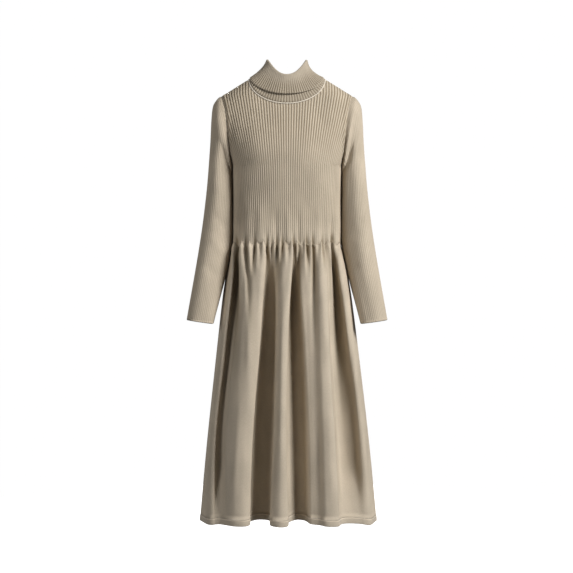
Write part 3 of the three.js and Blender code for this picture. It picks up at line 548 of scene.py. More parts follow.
class Shell:
    """A thin cloth wall made of an outer and an inner grid of points, in millimetres."""

    def __init__(self, outer, inner, closed, values):
        self.outer, self.inner, self.closed, self.values = outer, inner, closed, values

    def rounded_edge(self, index, axis, bulge):
        """The edge's middle points, pushed outward so that the edge is round."""
        outer = row_or_column(self.outer, index, axis)
        inner = row_or_column(self.inner, index, axis)
        near = row_or_column(self.outer, 1 if index == 0 else -2, axis)
        return (outer + inner) / 2 + unit(outer - near) * bulge

    def mesh(self):
        rows, columns = self.outer.shape[:2]
        ids = np.arange(rows * columns).reshape(rows, columns)
        bulge = EDGE_ROUND * float(np.linalg.norm(self.outer[0, 0] - self.inner[0, 0]))
        around = np.append(np.arange(columns), [0] if self.closed else []).astype(int)
        grid = ids[:, around]
        points = [self.outer.reshape(-1, 3), self.inner.reshape(-1, 3)]
        faces = [quads(grid), quads(grid + ids.size)[:, ::-1]]
        copied = [ids.ravel(), ids.ravel()]
        total = 2 * ids.size
        for index, axis in ((0, 0), (-1, 0), (0, 1), (-1, 1)):
            if axis == 1 and self.closed:
                continue
            middle = self.rounded_edge(index, axis, bulge)
            edge, own = row_or_column(ids, index, axis), total + np.arange(len(middle))
            points.append(middle)
            copied.append(edge)
            total += len(middle)
            if self.closed:
                edge, own = edge[around], own[around]
            strip = quads(np.stack([edge, own, edge + ids.size]))
            faces.append(strip if (index == 0) == (axis == 0) else strip[:, ::-1])
        order = np.concatenate(copied)
        values = {key: value.reshape(-1, 3)[order] for key, value in self.values.items()}
        return build_mesh(np.concatenate(points), np.concatenate(faces), values)


def build_mesh(points, faces, values):
    """A smooth-shaded mesh of quads, with its values kept as attributes of its points."""
    mesh = bpy.data.meshes.new("cloth")
    mesh.vertices.add(len(points))
    mesh.vertices.foreach_set("co", (points * MM).astype(np.float32).ravel())
    mesh.loops.add(faces.size)
    mesh.loops.foreach_set("vertex_index", faces.astype(np.int32).ravel())
    mesh.polygons.add(len(faces))
    mesh.polygons.foreach_set("loop_start", np.arange(0, faces.size, 4, dtype=np.int32))
    mesh.update(calc_edges=True)
    mesh.validate()
    mesh.shade_smooth()
    for key, value in values.items():
        made = mesh.attributes.new(key, "FLOAT_VECTOR", "POINT")
        made.data.foreach_set("vector", value.astype(np.float32).ravel())
    return mesh


def place_cloth(node, mesh, material):
    """Puts a piece of cloth in the scene, in place of its solid."""
    name = node + "_cloth"
    mesh.name = name
    mesh.materials.append(material)
    piece = bpy.data.objects.new(name, mesh)
    bpy.context.scene.collection.objects.link(piece)
    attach(piece, "root")
    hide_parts(node)


def three_values(first, second, third):
    """The three numbers that each point of a grid keeps for its material."""
    return np.stack(np.broadcast_arrays(first, second, third), axis=-1)


# Bodice
def bodice_grid(face):
    """Rib numbers and points of the bodice's middle surface, waist to shoulder."""
    across = np.linspace(-1, 1, BODICE_COLUMNS)

    def rib_of(z):
        at_armhole = rib_at_armhole(face, np.maximum(z, ARMPIT_Z))
        return across * np.where(z <= ARMPIT_Z, PANEL_RIBS, at_armhole)

    # Halving finds the height at which each rib line meets the panel's top edge
    low = np.full(BODICE_COLUMNS, float(ARMPIT_Z))
    high = np.full(BODICE_COLUMNS, NECK_END_Z + 5.0)
    for _ in range(HALVINGS):
        middle = (low + high) / 2
        below = middle < panel_top_z(face, torso_point(face, rib_of(middle), middle)[:, 0])
        low, high = np.where(below, middle, low), np.where(below, high, middle)
    top = (low + high) / 2
    share = np.linspace(0, 1, BODICE_ROWS)
    lowest = BODICE_LOW["share"]
    crowded = lowest * (2 * share) ** BODICE_LOW["power"]
    levels = np.where(share < 0.5, crowded, mix(lowest, 1, 2 * share - 1))
    ribs, points = [], []
    for level in levels:
        z = mix(float(WAIST_Z), top, level)
        rib = rib_of(z)
        ribs.append(rib)
        points.append(torso_point(face, rib, z))
    return np.array(ribs), np.array(points)


def gather_rise(gathers, x, away, spread, seam_share):
    """Height of the gathers at x and a distance away from the waist seam."""
    rise = np.zeros_like(x)
    for at, out, long in gathers:
        near = np.abs(x - at) / (GATHER_WIDTH * (1 + away / spread))
        bump = np.where(near < 1, np.cos(np.minimum(near, 1) * math.pi / 2) ** 2, 0)
        rise += swell(away, 0, long, out) * mix(seam_share, 1, smooth(away / GATHER_START)) * bump
    return rise


def pinch_rise(face, x, above):
    """Depth, as a negative height, of the creases pinched in on both sides of the waist seam."""
    rise = np.zeros_like(x)
    below = np.maximum(0, -above)
    for at, slant, deep, long in face["pinches"]:
        fade = np.where(above > 0, swell(above, 0, PINCH_UP), swell(below, 0, long))
        away = x - at - slant * below
        width = np.where(away < 0, *PINCH_WIDTHS) * (1 + below / PINCH_SPREAD)
        rise -= fade * swell(away, 0, width, deep)
    return rise


def tip_rise(face, x):
    """How far the gathers lift the waist seam at x, so that it isn't a straight line."""
    return TIP_RISE * sum(swell(x, at, TIP_WIDTH, out) for at, out, _ in face["gathers"])


def bodice_shell(face, rib_raise):
    """One panel of the bodice. It keeps place across, place down and rib number, and then
    distance from the armhole, shade painted into the creases and strength of painted groove shade."""
    ribs, p = bodice_grid(face)
    sign = face["sign"]
    normals = torso_normal(np.full(p.shape[:2], sign), p)
    x, z = p[..., 0], p[..., 2]
    above = z - WAIST_Z
    top_fade = smooth(np.linspace(1, 0, BODICE_ROWS)[:, None] / 0.02)
    soft = line_rise(BODICE_LINES[face["name"]], x, z) * fade_in("bodice_lines_above_waist", above)
    short = [(at, out, GATHER_UP) for at, out, _ in face["gathers"]]
    pull = GATHER_PULL * gather_rise(short, x, above, BODICE_SPREAD, 1)
    # Distance from the armhole, at 6 mm a rib
    edge = (1 - np.abs(np.linspace(-1, 1, BODICE_COLUMNS))) * np.abs(ribs).max(1)[:, None] * 6
    beside_armhole = fade_in("armhole_above_armpit", z - ARMPIT_Z)
    at_armhole = mix(1, fade_in("bodice_ribs_from_armhole", edge), beside_armhole)
    at_edges = mix(RIB_AT_EDGE, 1, top_fade) * mix(RIB_AT_EDGE, 1, at_armhole)
    fade = at_edges * mix(RIB_AT_WAIST, 1, fade_in("bodice_ribs_above_waist", above))
    seam_roll = swell(edge, *BODICE_ROLL) * beside_armhole
    pinch = pinch_rise(face, x, np.maximum(above, 0.01))
    # Shade painted into the pinched creases, 0 to 1
    crease = np.clip(-pinch / FULL_SHADE_PINCH_DEPTH, 0, 1)
    shift = soft + pull + PINCH_SHARE_UP * pinch
    ribbed = rib_raise * rib_height(ribs) * fade
    outer = p + normals * (WALL / 2 + shift + seam_roll + ribbed)[..., None]
    inner = p + normals * (shift - WALL / 2)[..., None]
    # The last row reaches the shoulder seam beside the neckline, so that no slit shows there
    shoulder = fade_in("shoulder_from_neck", np.abs(x[-1]) - NECK_HALF_WIDTH)
    for grid, crown in ((outer, WALL / 2 + SHOULDER_CROWN), (inner, -WALL / 2)):
        grid[..., 1] = sign * np.maximum(SEAM_GAP / 2, sign * grid[..., 1])
        grid[0, :, 2] = WAIST_Z
        grid[-1, :, 1] = mix(grid[-1, :, 1], sign * SEAM_GAP / 2, shoulder)
        grid[-1, :, 2] = mix(grid[-1, :, 2], p[-1, :, 2] + crown, shoulder)
        grid[..., 2] += tip_rise(face, x) * np.exp(-above / TIP_FADE)
    across, down = grid_lengths(p)
    # Strength of the shade painted into the rib grooves, less low down and at the waist
    strength = mix(1, GROOVE_SHADE_LOW, fade_in("groove_shade_below_neck", -z))
    strength = strength * mix(GROOVE_SHADE_AT_WAIST, 1, fade_in("groove_shade_above_waist", above))
    grids = (outer, inner, across, down, ribs, edge, crease)
    if face is BACK:
        grids = (grid[:, ::-1] for grid in grids)
    outer, inner, across, down, ribs, edge, crease = grids
    values = {"cloth": three_values(across, down, ribs), "edge": three_values(edge, crease, strength)}
    return Shell(outer, inner, False, values)


# Neck
def neck_place(angle):
    """Points on the neckline at turns round the neck, 0 on the right shoulder."""
    sign = np.where(np.sin(angle) >= 0, -1, 1)
    drop = np.where(sign < 0, FRONT["neck_drop"], BACK["neck_drop"])
    x = NECK_HALF_WIDTH * np.cos(angle)
    z = NECK_END_Z - drop * np.abs(np.sin(angle))
    return torso_at(sign, depth_at(FRONT, z), depth_at(BACK, z), x, z), sign


def neck_frames(count):
    """Evenly spaced places round the neckline, with their outward and upward directions."""
    turn = np.linspace(0, 1, 801) * 4
    quarter, w = np.floor(turn).astype(int) % 4, turn - np.floor(turn)
    near = np.where(quarter % 2 == 0, w * w, 1 - (1 - w) ** 2)
    fine = (quarter + near) * math.pi / 2
    fine[-1] = 2 * math.pi
    trail = neck_place(fine)[0]
    length = np.concatenate([[0], np.cumsum(np.linalg.norm(np.diff(trail, axis=0), axis=1))])

    def angle_at(i):
        return np.interp(np.mod(i / count, 1) * length[-1], length, fine)

    i = np.arange(count)
    angle = angle_at(i)
    p, sign = neck_place(angle)
    n = torso_normal(sign, p)
    along = unit(neck_place(angle_at(i + 0.3))[0] - neck_place(angle_at(i - 0.3))[0])
    up = unit(np.cross(n, along))
    inward = np.stack([-p[:, 0], 0 * p[:, 0], np.full(count, NECK_HALF_WIDTH)], axis=1)
    up *= np.where((up * inward).sum(1) < 0, -1, 1)[:, None]
    return angle, p, n, up, length[-1]


def band_section(height, thick, low, points):
    """Closed rounded section as (up, out) pairs."""
    turn = np.linspace(0, 2 * math.pi, points, endpoint=False)
    c, s = np.cos(turn), np.sin(turn)
    up = low + height / 2 + height / 2 * np.sign(s) * np.abs(s) ** 0.6
    out = thick / 2 * np.sign(c) * np.abs(c) ** 0.6
    return up, out


def ring_mesh(grid, values):
    """A ring from a grid whose rows run round it and whose last row and column join the first."""
    rows, columns = grid.shape[:2]
    ids = np.pad(np.arange(rows * columns).reshape(rows, columns), (0, 1), mode="wrap")
    values = {key: value.reshape(-1, 3) for key, value in values.items()}
    return build_mesh(grid.reshape(-1, 3), quads(ids), values)


def neck_seam_grid():
    """The linked seam, with a bead for each stitch, and its place along, up and stitch number."""
    _, p, n, up, length = neck_frames(NECK_COLUMNS)
    rise, out = band_section(NECK_BAND_HEIGHT, NECK_BAND_THICK, SEAM_GAP, NECK_POINTS)
    beads = np.round(length / NECK_STITCH)
    along = np.arange(NECK_COLUMNS) / NECK_COLUMNS * beads
    slant = np.linspace(0, 1, NECK_POINTS)[:, None] * 0.8
    swelling = 1 + 0.14 * np.cos(2 * math.pi * (along + slant))
    middle = SEAM_GAP + NECK_BAND_HEIGHT / 2
    upward = up * (middle + (rise[:, None] - middle) * swelling)[..., None]
    grid = p + upward + n * (out[:, None] * swelling)[..., None]
    return grid, three_values(along * NECK_STITCH, rise[:, None], along)


def rim_point(angle):
    c, s = np.cos(angle), np.sin(angle)
    y = np.where(s >= 0, -COLLAR_RIM["front"] * s, -COLLAR_RIM["back"] * s)
    low = np.where(s >= 0, COLLAR_RIM["front_z"], COLLAR_RIM["back_z"])
    z = mix(low, COLLAR_RIM["side_z"], np.abs(c) ** 2.2)
    return np.stack([COLLAR_RIM["half_width"] * c, y, z], axis=-1)


def turnover_end(angle):
    """Share of the collar's height at which its turned-over layer ends, higher in front."""
    s = np.sin(angle)
    front = mix(0.04, 0.29, np.maximum(s, 0) ** 1.3)
    return np.where(s >= 0, front, mix(0.04, 0.08, np.maximum(-s, 0)))


def collar_section():
    """The rows of the collar's section, in knitted order: layer, share of the layer's height,
    distance out of the stand's middle, lift past its end, and strength of the ribs and their painted
    groove shade."""
    h = COLLAR_WALL / 2
    rows = [("stand", v, -h, 0, 0.25) for v in np.linspace(0, 0.95, 16)]
    half = (COLLAR_LAYER + 2 * h) / 2
    for turn in np.linspace(0, math.pi, 11):
        rows.append(("stand", 0.965, half - h - half * math.cos(turn), 3.1 * math.sin(turn), 0))
    rows += [("turned", v, COLLAR_LAYER + h, 0, 1) for v in np.linspace(0.95, 0.02, 26)]
    for turn in np.linspace(0.3, math.pi - 0.3, 5):
        rows.append(("turned", 0, COLLAR_LAYER + h * math.cos(turn), -1.3 * math.sin(turn), 0.5))
    rows += [("turned", v, COLLAR_LAYER - h, 0, 0.3) for v in np.linspace(0.02, 0.93, 14)]
    rows += [("stand", 0.962, COLLAR_LAYER / 2, 0, 0)]
    rows += [("stand", v, h, 0, 0.8) for v in np.linspace(0.95, 0, 18)]
    return rows


def collar_grid(rib_raise):
    """The doubled collar, with its place across, place down and rib number, and strength of its painted
    groove shade.
    """
    columns = COLLAR_RIBS * POINTS_PER_RIB
    angle, p, n, up, length = neck_frames(columns)
    base = p + up * (NECK_BAND_HEIGHT + 2 * SEAM_GAP)
    rim = rim_point(angle)
    behind = np.maximum(0, -np.sin(angle))
    knee = mix(base, rim, COLLAR_BULGE["at"])
    knee += up * (COLLAR_BULGE["up"] - COLLAR_BULGE["less_behind"] * behind)[:, None]
    knee[:, 1] += COLLAR_BULGE["backward"] * behind
    c = np.cos(angle)
    waist = zip(COLLAR_WAIST["left"], COLLAR_WAIST["right"])
    inward, down = (np.where(c < 0, *pair) for pair in waist)
    knee[:, 0] -= inward * c * np.abs(c) ** 2
    knee[:, 2] -= down * np.abs(c) ** 3
    end = turnover_end(angle)
    rib = np.arange(columns) / columns * COLLAR_RIBS
    grid, places, strengths, travel = [], [], [], 0
    for layer, v, out, lift, share in collar_section():
        turned = layer == "turned"
        at = (mix(end, 1, v) if turned else np.full(columns, v))[:, None]
        point = base * (1 - at) ** 2 + knee * 2 * at * (1 - at) + rim * at**2
        t = unit(2 * (1 - at) * (knee - base) + 2 * at * (rim - knee))
        side = unit(np.roll(point, -1, axis=0) - np.roll(point, 1, axis=0))
        across = n if layer == "stand" and v == 0 else unit(np.cross(t, side))
        flare, fade = 0, share + 0 * rib
        if turned:
            low = (1 - at[:, 0]) / (1 - end)
            flare = clamp(low) ** 3 * mix(2.2, -1.8, np.abs(c) ** 3)
            fade = share * mix(0.1, 1, smooth((low - 0.15) / 0.6))
        inside = 0.4 if out < 0 else 1
        raised = np.sign(out) * rib_raise * rib_height(rib) * fade * inside
        grid.append(point + across * (out + flare + raised)[:, None] + t * lift)
        if len(grid) > 1:
            travel = travel + np.linalg.norm(grid[-1] - grid[-2], axis=1).mean()
        places.append(three_values(rib * length / COLLAR_RIBS, travel, rib))
        # No painted crease shade, and painted groove shade as strong as the ribs
        strengths.append(three_values(0, 0, fade))
    return np.array(grid), {"cloth": np.array(places), "edge": np.array(strengths)}


# Sleeves
def armhole_frame(angle):
    sign = np.where(np.sin(angle) >= 0, -1, 1)
    z = mix(float(ARMPIT_Z), shoulder_z(SHOULDER_TIP_X), (1 + np.cos(angle)) / 2)
    x = np.minimum(armhole_x(z), torso_half_width(z))
    p = torso_at(sign, depth_at(FRONT, z), depth_at(BACK, z), x, z)
    n = torso_normal(sign, p)
    p[:, 1] = sign * np.maximum(np.abs(p[:, 1]), ARMPIT_WIDTH * np.abs(np.sin(angle)))
    return p, n


def underarm(angle):
    return smooth(np.arccos(np.clip(np.cos(angle), -1, 1)) - UNDERARM_FROM)


def sleeve_rings(angle):
    """Middle of the sleeve cloth at the turns given, one row for each ring of the table."""
    p, n = armhole_frame(angle)
    next_p = unit(armhole_frame(angle + 0.05)[0] - armhole_frame(angle - 0.05)[0])
    away = unit(np.cross(next_p, n))
    away *= np.where(away[:, 0] < 0, -1, 1)[:, None]
    under = underarm(angle)
    p = p + away * (SEAM_GAP * 2 * (1 - under))[:, None]
    p[:, 0] += under * (2 * (WALL / 2 + 0.275) + SEAM_GAP * 1.6)
    rows = [p]
    full = np.sign(np.sin(angle)) * np.abs(np.sin(angle)) ** mix(1, 0.5, smooth(-1.6 * np.cos(angle)))
    behind = swell(np.mod(angle, 2 * math.pi), *BEHIND_BODY)
    for out_x, out_z, in_x, in_z, half, shift, tuck, reach in SLEEVE_RINGS:
        t = 0.5 + np.cos(angle) / 2
        y = shift - half * full + tuck * (1 - t) ** 2
        x = mix(in_x, out_x, t) - reach * behind
        rows.append(np.stack([x, y, mix(in_z, out_z, t)], axis=1))
    return np.array(rows), n


def sleeve_shell(side, rib_raise):
    """One sleeve. It keeps place across, place down and rib number, and then distance from
    the armhole, no painted crease shade and full painted groove shade."""
    columns = SLEEVE_RIBS * POINTS_PER_RIB
    angle = np.arange(columns) / columns * 2 * math.pi
    rings, armhole_n = sleeve_rings(angle)
    run = np.linalg.norm(np.diff(rings, axis=0), axis=2).mean(1)
    stations = np.concatenate([[0], np.cumsum(run)])
    travel = np.linspace(0, 1, SLEEVE_ROWS) ** SLEEVE_CROWDING * stations[-1]
    p = curve_through(stations, rings, travel)
    travel = travel[:, None]
    around = np.roll(p, -3, axis=1) - np.roll(p, 3, axis=1)
    own = unit(np.cross(around, np.gradient(p, axis=0)))
    under = underarm(angle)
    near = (fade_in("sleeve_own_direction", travel) * (1 - under) + under)[..., None]
    normals = unit(mix(armhole_n[None], own, near))
    x, y, z = p[..., 0], p[..., 1], p[..., 2]
    arm_x, arm_half_width, arm_half_depth = (table_at(ARM_LINE, column, z) for column in (1, 2, 3))
    forward = y - table_at([(ring[1], ring[5]) for ring in SLEEVE_RINGS], 1, z)
    turn = np.arctan2(-forward / arm_half_depth, (x - arm_x) / arm_half_width)
    rib = turn / (2 * math.pi) * SLEEVE_RIBS
    lines = SLEEVE_LINES[side]
    front = smooth(0.5 - forward / 16)
    soft = line_rise(lines["front"], x, z) * front + line_rise(lines["back"], x, z) * (1 - front)
    from_cuff = fade_in("sleeve_lines_from_cuff", stations[-1] - travel)
    soft *= fade_in("sleeve_lines_from_armhole", travel) * from_cuff
    soft = np.maximum(soft, mix(-20, -1.0, under))
    grown = mix(RIB_AT_EDGE, 1, fade_in("sleeve_ribs_from_armhole", travel))
    ribbed = rib_raise * rib_height(rib) * grown
    roll = swell(travel, *SLEEVE_ROLL)
    outer = p + normals * (WALL / 2 + soft + roll + ribbed)[..., None]
    inner = p + normals * (soft - WALL / 2)[..., None]
    across, down = grid_lengths(p)
    grids = (outer, inner, three_values(across, down, rib), three_values(travel, 0, 1 + 0 * rib))
    if side == "left":
        for grid in (outer, inner):
            grid[..., 0] *= -1
    else:
        grids = (grid[:, ::-1] for grid in grids)
    outer, inner, cloth, edge = grids
    return Shell(outer, inner, True, {"cloth": cloth, "edge": edge})


# Skirt
def smooth_plan(knots, count):
    """A centripetal curve through knots, open at both ends, with so many points to a span."""
    first, last = 2 * knots[0] - knots[1], 2 * knots[-1] - knots[-2]
    k = np.concatenate([[first], knots, [last]])
    gap = np.maximum(np.linalg.norm(np.diff(k, axis=0), axis=1) ** 0.5, 1e-2)[:, None]
    p0, p1, p2, p3 = k[:-3], k[1:-2], k[2:-1], k[3:]
    d0, d1, d2 = gap[:-2], gap[1:-1], gap[2:]
    t1 = d1 * ((p1 - p0) / d0 - (p2 - p0) / (d0 + d1) + (p2 - p1) / d1)
    t2 = d1 * ((p2 - p1) / d1 - (p3 - p1) / (d1 + d2) + (p3 - p2) / d2)
    w = (np.arange(count) / count)[None, :, None]
    terms = (p1, t1, -3 * p1 + 3 * p2 - 2 * t1 - t2, 2 * p1 - 2 * p2 + t1 + t2)
    a, b, c, d = (term[:, None] for term in terms)
    points = (a + b * w + c * w**2 + d * w**3).reshape(-1, 3)
    slopes = (b + 2 * c * w + 3 * d * w**2).reshape(-1, 3)
    end_slope = (b + 2 * c + 3 * d)[-1, 0]
    return np.concatenate([points, knots[-1:]]), np.concatenate([slopes, end_slope[None]])


def skirt_row(face, z, count, lift):
    """Middle points of the skirt at height z, their outward directions, the height of the gathers
    and pinches, and the shade painted into the pinched creases."""
    half_width, middle = (float(table_at(SKIRT_SHAPE, column, z)) for column in (1, 4))
    ridge = float(table_at(SKIRT_SHAPE, 1 + face["depth"], z))
    down = float(np.clip((WAIST_Z - z) / (WAIST_Z - HEM_Z), 0, 1))
    reach = VALLEY_REACH["more"] * (1 - (1 - down) ** VALLEY_REACH["power"])
    fading = float(smooth((FADE_Z - z) / (FADE_Z - HEM_Z)))
    side_y = face["sign"] * SEAM_GAP / 2
    knots = [(middle - half_width, side_y, SIDE_DEPTH)]
    for i, (*at, deep) in enumerate(face["folds"]):
        deep = mix(deep, face["hem_depths"].get(i, deep), fading)
        x = float(np.clip(curve_through(FOLD_STATIONS, at, z) - middle, -half_width, half_width))
        y = face["sign"] * ridge * float(fullness(x / half_width)) * (1 - deep * reach)
        knots.append((x + middle, y, deep))
    knots.append((middle + half_width, side_y, SIDE_DEPTH))
    p, t = smooth_plan(np.array(knots), count)
    n = unit(np.stack([-t[:, 1], t[:, 0], 0 * t[:, 0]], axis=1)) * face["sign"]
    n[0], n[-1] = (-1, 0, 0), (1, 0, 0)
    x, deep = p[:, 0], p[:, 2].copy()
    below = WAIST_Z - z
    rise = gather_rise(face["gathers"], x, below, SKIRT_SPREAD, GATHER_AT_SEAM)
    pinch = pinch_rise(face, x, -below + 0 * x)
    rise += pinch * mix(PINCH_AT_SEAM, 1, float(fade_in("skirt_pinches_below_waist", below)))
    rise[0] = rise[-1] = 0
    to_side = np.abs(x / HEM_EDGE["half_width"]) ** 4
    p[:, 2] = z + lift * (HEM_EDGE["valley_rise"] * deep - HEM_EDGE["side_drop"] * to_side)
    p[:, 2] += tip_rise(face, x) * math.exp(-below / TIP_FADE)
    # The last value is the shade painted into the pinched creases
    return p, n, rise, np.clip(-pinch / FULL_SHADE_PINCH_DEPTH, 0, 1)


def skirt_shell(face, heights, lifts, count, wall, bulge, edge=None):
    """A skirt or hem from rows at these heights. It keeps place across, place down and the shade
    painted into the creases, and a hem its distance from the top edge too."""
    rows = [skirt_row(face, z, count, lift) for z, lift in zip(heights, lifts)]
    p, n, rise, crease = (np.array(part) for part in zip(*rows))
    x, z = p[..., 0], p[..., 2]
    side_fade = fade_in("skirt_lines_from_side", np.abs(x[:, -1:]) - np.abs(x))
    shift = (rise + line_rise(SKIRT_LINES[face["name"]], x, z) * side_fade)[..., None]
    outer = p + n * (wall / 2 + bulge[:, None, None] + shift)
    inner = p + n * (shift - wall / 2)
    for grid in (outer, inner):
        grid[..., 1] = face["sign"] * np.maximum(SEAM_GAP / 2, face["sign"] * grid[..., 1])
    turn = np.s_[::-1] if face is FRONT else np.s_[::-1, ::-1]
    values = {"cloth": three_values(*grid_lengths(p), crease)[turn]}
    if edge is not None:
        values["edge"] = three_values(edge[:, None] + 0 * x, 0, 0)[turn]
    return Shell(outer[turn], inner[turn], False, values)


# Materials
# Yarn colours against the knit's own: lighter, darker and in the shadow of a groove or crease
KNIT_LIGHT, KNIT_DARK = 1.15, 0.84
KNIT_SHADOW = (0.42, 0.38, 0.31)
# Noises in the cloth, as changes per millimetre across and down
YARN = (0.9, 0.25, 0)
CLOUD = (0.02, 0.01, 0)
FUZZ = (6, 6, 0)
SEAM_YARN = (1.2, 1.2, 0)
# Strength and depth in metres of the relief in the knit and in the linked seam
KNIT_BUMP = (0.55, 0.0007)
SEAM_BUMP = (0.5, 0.0005)
STITCH_RELIEF = 0.25
# Height of a stitch against its width
COURSE_SHARE = 0.72
# Where the slanting marks beside the armhole begin and end, in millimetres from its edge
MARKS_FROM, MARKS_TO = (3, 5), (11, 13)
# The same for the stitched line of the hem, from the top edge, and the length of its stitches
LINE_FROM, LINE_TO = (0.2, 0.8), (2.6, 3.2)
LINE_STITCH = 3


def both_ways(operation):
    """A Math operation as an operator and its reflected form."""
    return (
        lambda self, other: self.math(operation, self, other),
        lambda self, other: self.math(operation, other, self),
    )


class Value:
    """A shader socket that can be used in Python sums; sums add Math nodes."""

    def __init__(self, tree, socket):
        self.tree, self.socket = tree, socket

    def math(self, operation, *inputs):
        return self.tree.node("ShaderNodeMath", {"operation": operation}, dict(enumerate(inputs)))

    __add__, __radd__ = both_ways("ADD")
    __sub__, __rsub__ = both_ways("SUBTRACT")
    __mul__, __rmul__ = both_ways("MULTIPLY")
    __truediv__, __rtruediv__ = both_ways("DIVIDE")
    __pow__, __rpow__ = both_ways("POWER")

    def cos(self):
        return self.math("COSINE", self)

    def fraction(self):
        return self.math("FRACT", self)

    def size(self):
        return self.math("ABSOLUTE", self)


class Finish:
    """One material's node tree, with a Principled surface to feed."""

    def __init__(self, name):
        self.material = bpy.data.materials.new(name)
        self.material.use_nodes = True
        self.nodes = self.material.node_tree.nodes
        self.links = self.material.node_tree.links
        self.nodes.clear()
        output = self.nodes.new("ShaderNodeOutputMaterial")
        self.surface = self.nodes.new("ShaderNodeBsdfPrincipled")
        self.links.new(self.surface.outputs["BSDF"], output.inputs["Surface"])

    def fill(self, node, sockets):
        """Gives a node's sockets their values or links."""
        for key, value in sockets.items():
            if isinstance(value, Value):
                self.links.new(value.socket, node.inputs[key])
            else:
                node.inputs[key].default_value = value

    def node(self, kind, settings, sockets, output=0):
        """Adds a node, sets it up, fills its sockets and gives an output."""
        made = self.nodes.new(kind)
        for key, value in settings.items():
            setattr(made, key, value)
        self.fill(made, sockets)
        return Value(self, made.outputs[output])

    def attribute(self, name):
        """The three numbers that a piece keeps at its points under this name."""
        found = self.node("ShaderNodeAttribute", {"attribute_name": name}, {}, "Vector")
        parts = self.nodes.new("ShaderNodeSeparateXYZ")
        self.fill(parts, {0: found})
        return found, [Value(self, output) for output in parts.outputs]

    def noise(self, place, stretch, detail):
        """Cloudy noise over the cloth, stretched across and down it."""
        multiply = {"operation": "MULTIPLY"}
        stretched = self.node("ShaderNodeVectorMath", multiply, {0: place, 1: stretch})
        sockets = {"Vector": stretched, "Scale": 1.0, "Detail": detail}
        return self.node("ShaderNodeTexNoise", {}, sockets)

    def between(self, low, high, value):
        """0 below low, 1 above high, smooth between."""
        sockets = {"Value": value, "From Min": low, "From Max": high}
        return self.node("ShaderNodeMapRange", {"interpolation_type": "SMOOTHSTEP"}, sockets)

    def band(self, start, end, value):
        """1 between start and end, each a low and a high value, and 0 outside them."""
        return self.between(*start, value) * (1 - self.between(*end, value))

    def blend(self, a, b, share):
        settings = {"data_type": "RGBA", "blend_type": "MIX"}
        return self.node("ShaderNodeMix", settings, {0: share, 6: a, 7: b}, 2)

    def matt_cloth(self, colour, height, bump, roughness, sheen_tint=(1, 1, 1, 1)):
        """Feeds the surface of a matt cloth and gives its material."""
        sockets = {"Strength": bump[0], "Distance": bump[1], "Height": height}
        self.fill(self.surface, {
            "Base Color": colour,
            "Normal": self.node("ShaderNodeBump", {}, sockets, "Normal"),
            "Roughness": roughness,
            "Sheen Weight": 0.25,
            "Sheen Roughness": 0.5,
            "Sheen Tint": sheen_tint,
            "Specular IOR Level": 0.25,
        })
        return self.material


def shade(colour, by):
    """A colour made lighter or darker, with its alpha."""
    return tuple(min(1, c * by) for c in colour) + (1,)


def wave(turns):
    """0 to 1 and back once a turn, with 1 at whole turns."""
    return (turns * (2 * math.pi)).cos() * 0.5 + 0.5


def zigzag(turns):
    """0 to 1 and back once a turn, in straight lines, with 1 at whole turns."""
    return (turns.fraction() - 0.5).size() * 2


def stitch_height(across, down, width):
    """Fine knit stitches: slanting legs in columns, 0 between the yarns to 1 on them."""
    column = (across / width).fraction() - 0.5
    leg = (down / (width * COURSE_SHARE) + column.size() * 1.1).fraction() - 0.5
    over = 1 - (leg.size() * 2) ** 2
    side = 1 - ((column.size() - 0.25).size() * 4) ** 2
    return over * side


def knit_finish(name, settings, groove_shade=0.0, marks=False, tone=1.0):
    """Matt wool-blend knit: mottled yarn, fine stitches, painted shade in rib grooves and creases, and
    optional overall painted shade.
    """
    finish = Finish(name)
    place, (across, down, rib) = finish.attribute("cloth")
    # The knit's colour, painted darker as shade by a factor below one, as on the collar
    base = tuple(c * tone for c in settings.knit_colour)
    light, dark = shade(base, KNIT_LIGHT), shade(base, KNIT_DARK)
    shadow = tuple(c * k for c, k in zip(base, KNIT_SHADOW)) + (1,)
    yarn = finish.noise(place, YARN, 3.0)
    cloud = finish.noise(place, CLOUD, 2.0)
    colour = finish.blend(dark, light, finish.between(0.25, 0.75, yarn * 0.5 + cloud * 0.5))
    height = stitch_height(across, down, settings.stitch_width / MM) * STITCH_RELIEF
    # The skirt keeps the shade painted into its creases where a ribbed piece keeps its rib number
    crease = rib
    if groove_shade:
        _, (edge, crease, strength) = finish.attribute("edge")
        ridge = wave(rib)
        # Shade painted into the rib grooves
        colour = finish.blend(colour, shadow, (1 - ridge) ** 2 * strength * groove_shade)
        height = height + ridge * 0.6
    if marks:
        band = finish.band(MARKS_FROM, MARKS_TO, edge)
        slant = zigzag(down * 0.36 + edge * 0.22)
        colour = finish.blend(colour, shadow, band * finish.between(0.55, 0.9, slant) * 0.45)
        height = height + band * slant * 0.8
    # Shade painted into the pinched creases
    colour = finish.blend(colour, shadow, crease * 0.8)
    fuzz = finish.noise(place, FUZZ, 2.0)
    return finish.matt_cloth(colour, height + fuzz * 0.12, KNIT_BUMP, 0.84 + fuzz * 0.12, light)


def seam_finish(name, settings):
    """Linked seam: paler yarn with a thread over each stitch."""
    finish = Finish(name)
    place, (_, _, stitch) = finish.attribute("cloth")
    over = wave(stitch)
    yarn = finish.noise(place, SEAM_YARN, 3.0)
    light, dark = shade(settings.seam_colour, 1), shade(settings.seam_colour, 0.7)
    colour = finish.blend(dark, light, finish.between(0.05, 0.6, over * 0.7 + yarn * 0.5))
    return finish.matt_cloth(colour, over + yarn * 0.3, SEAM_BUMP, 0.9)


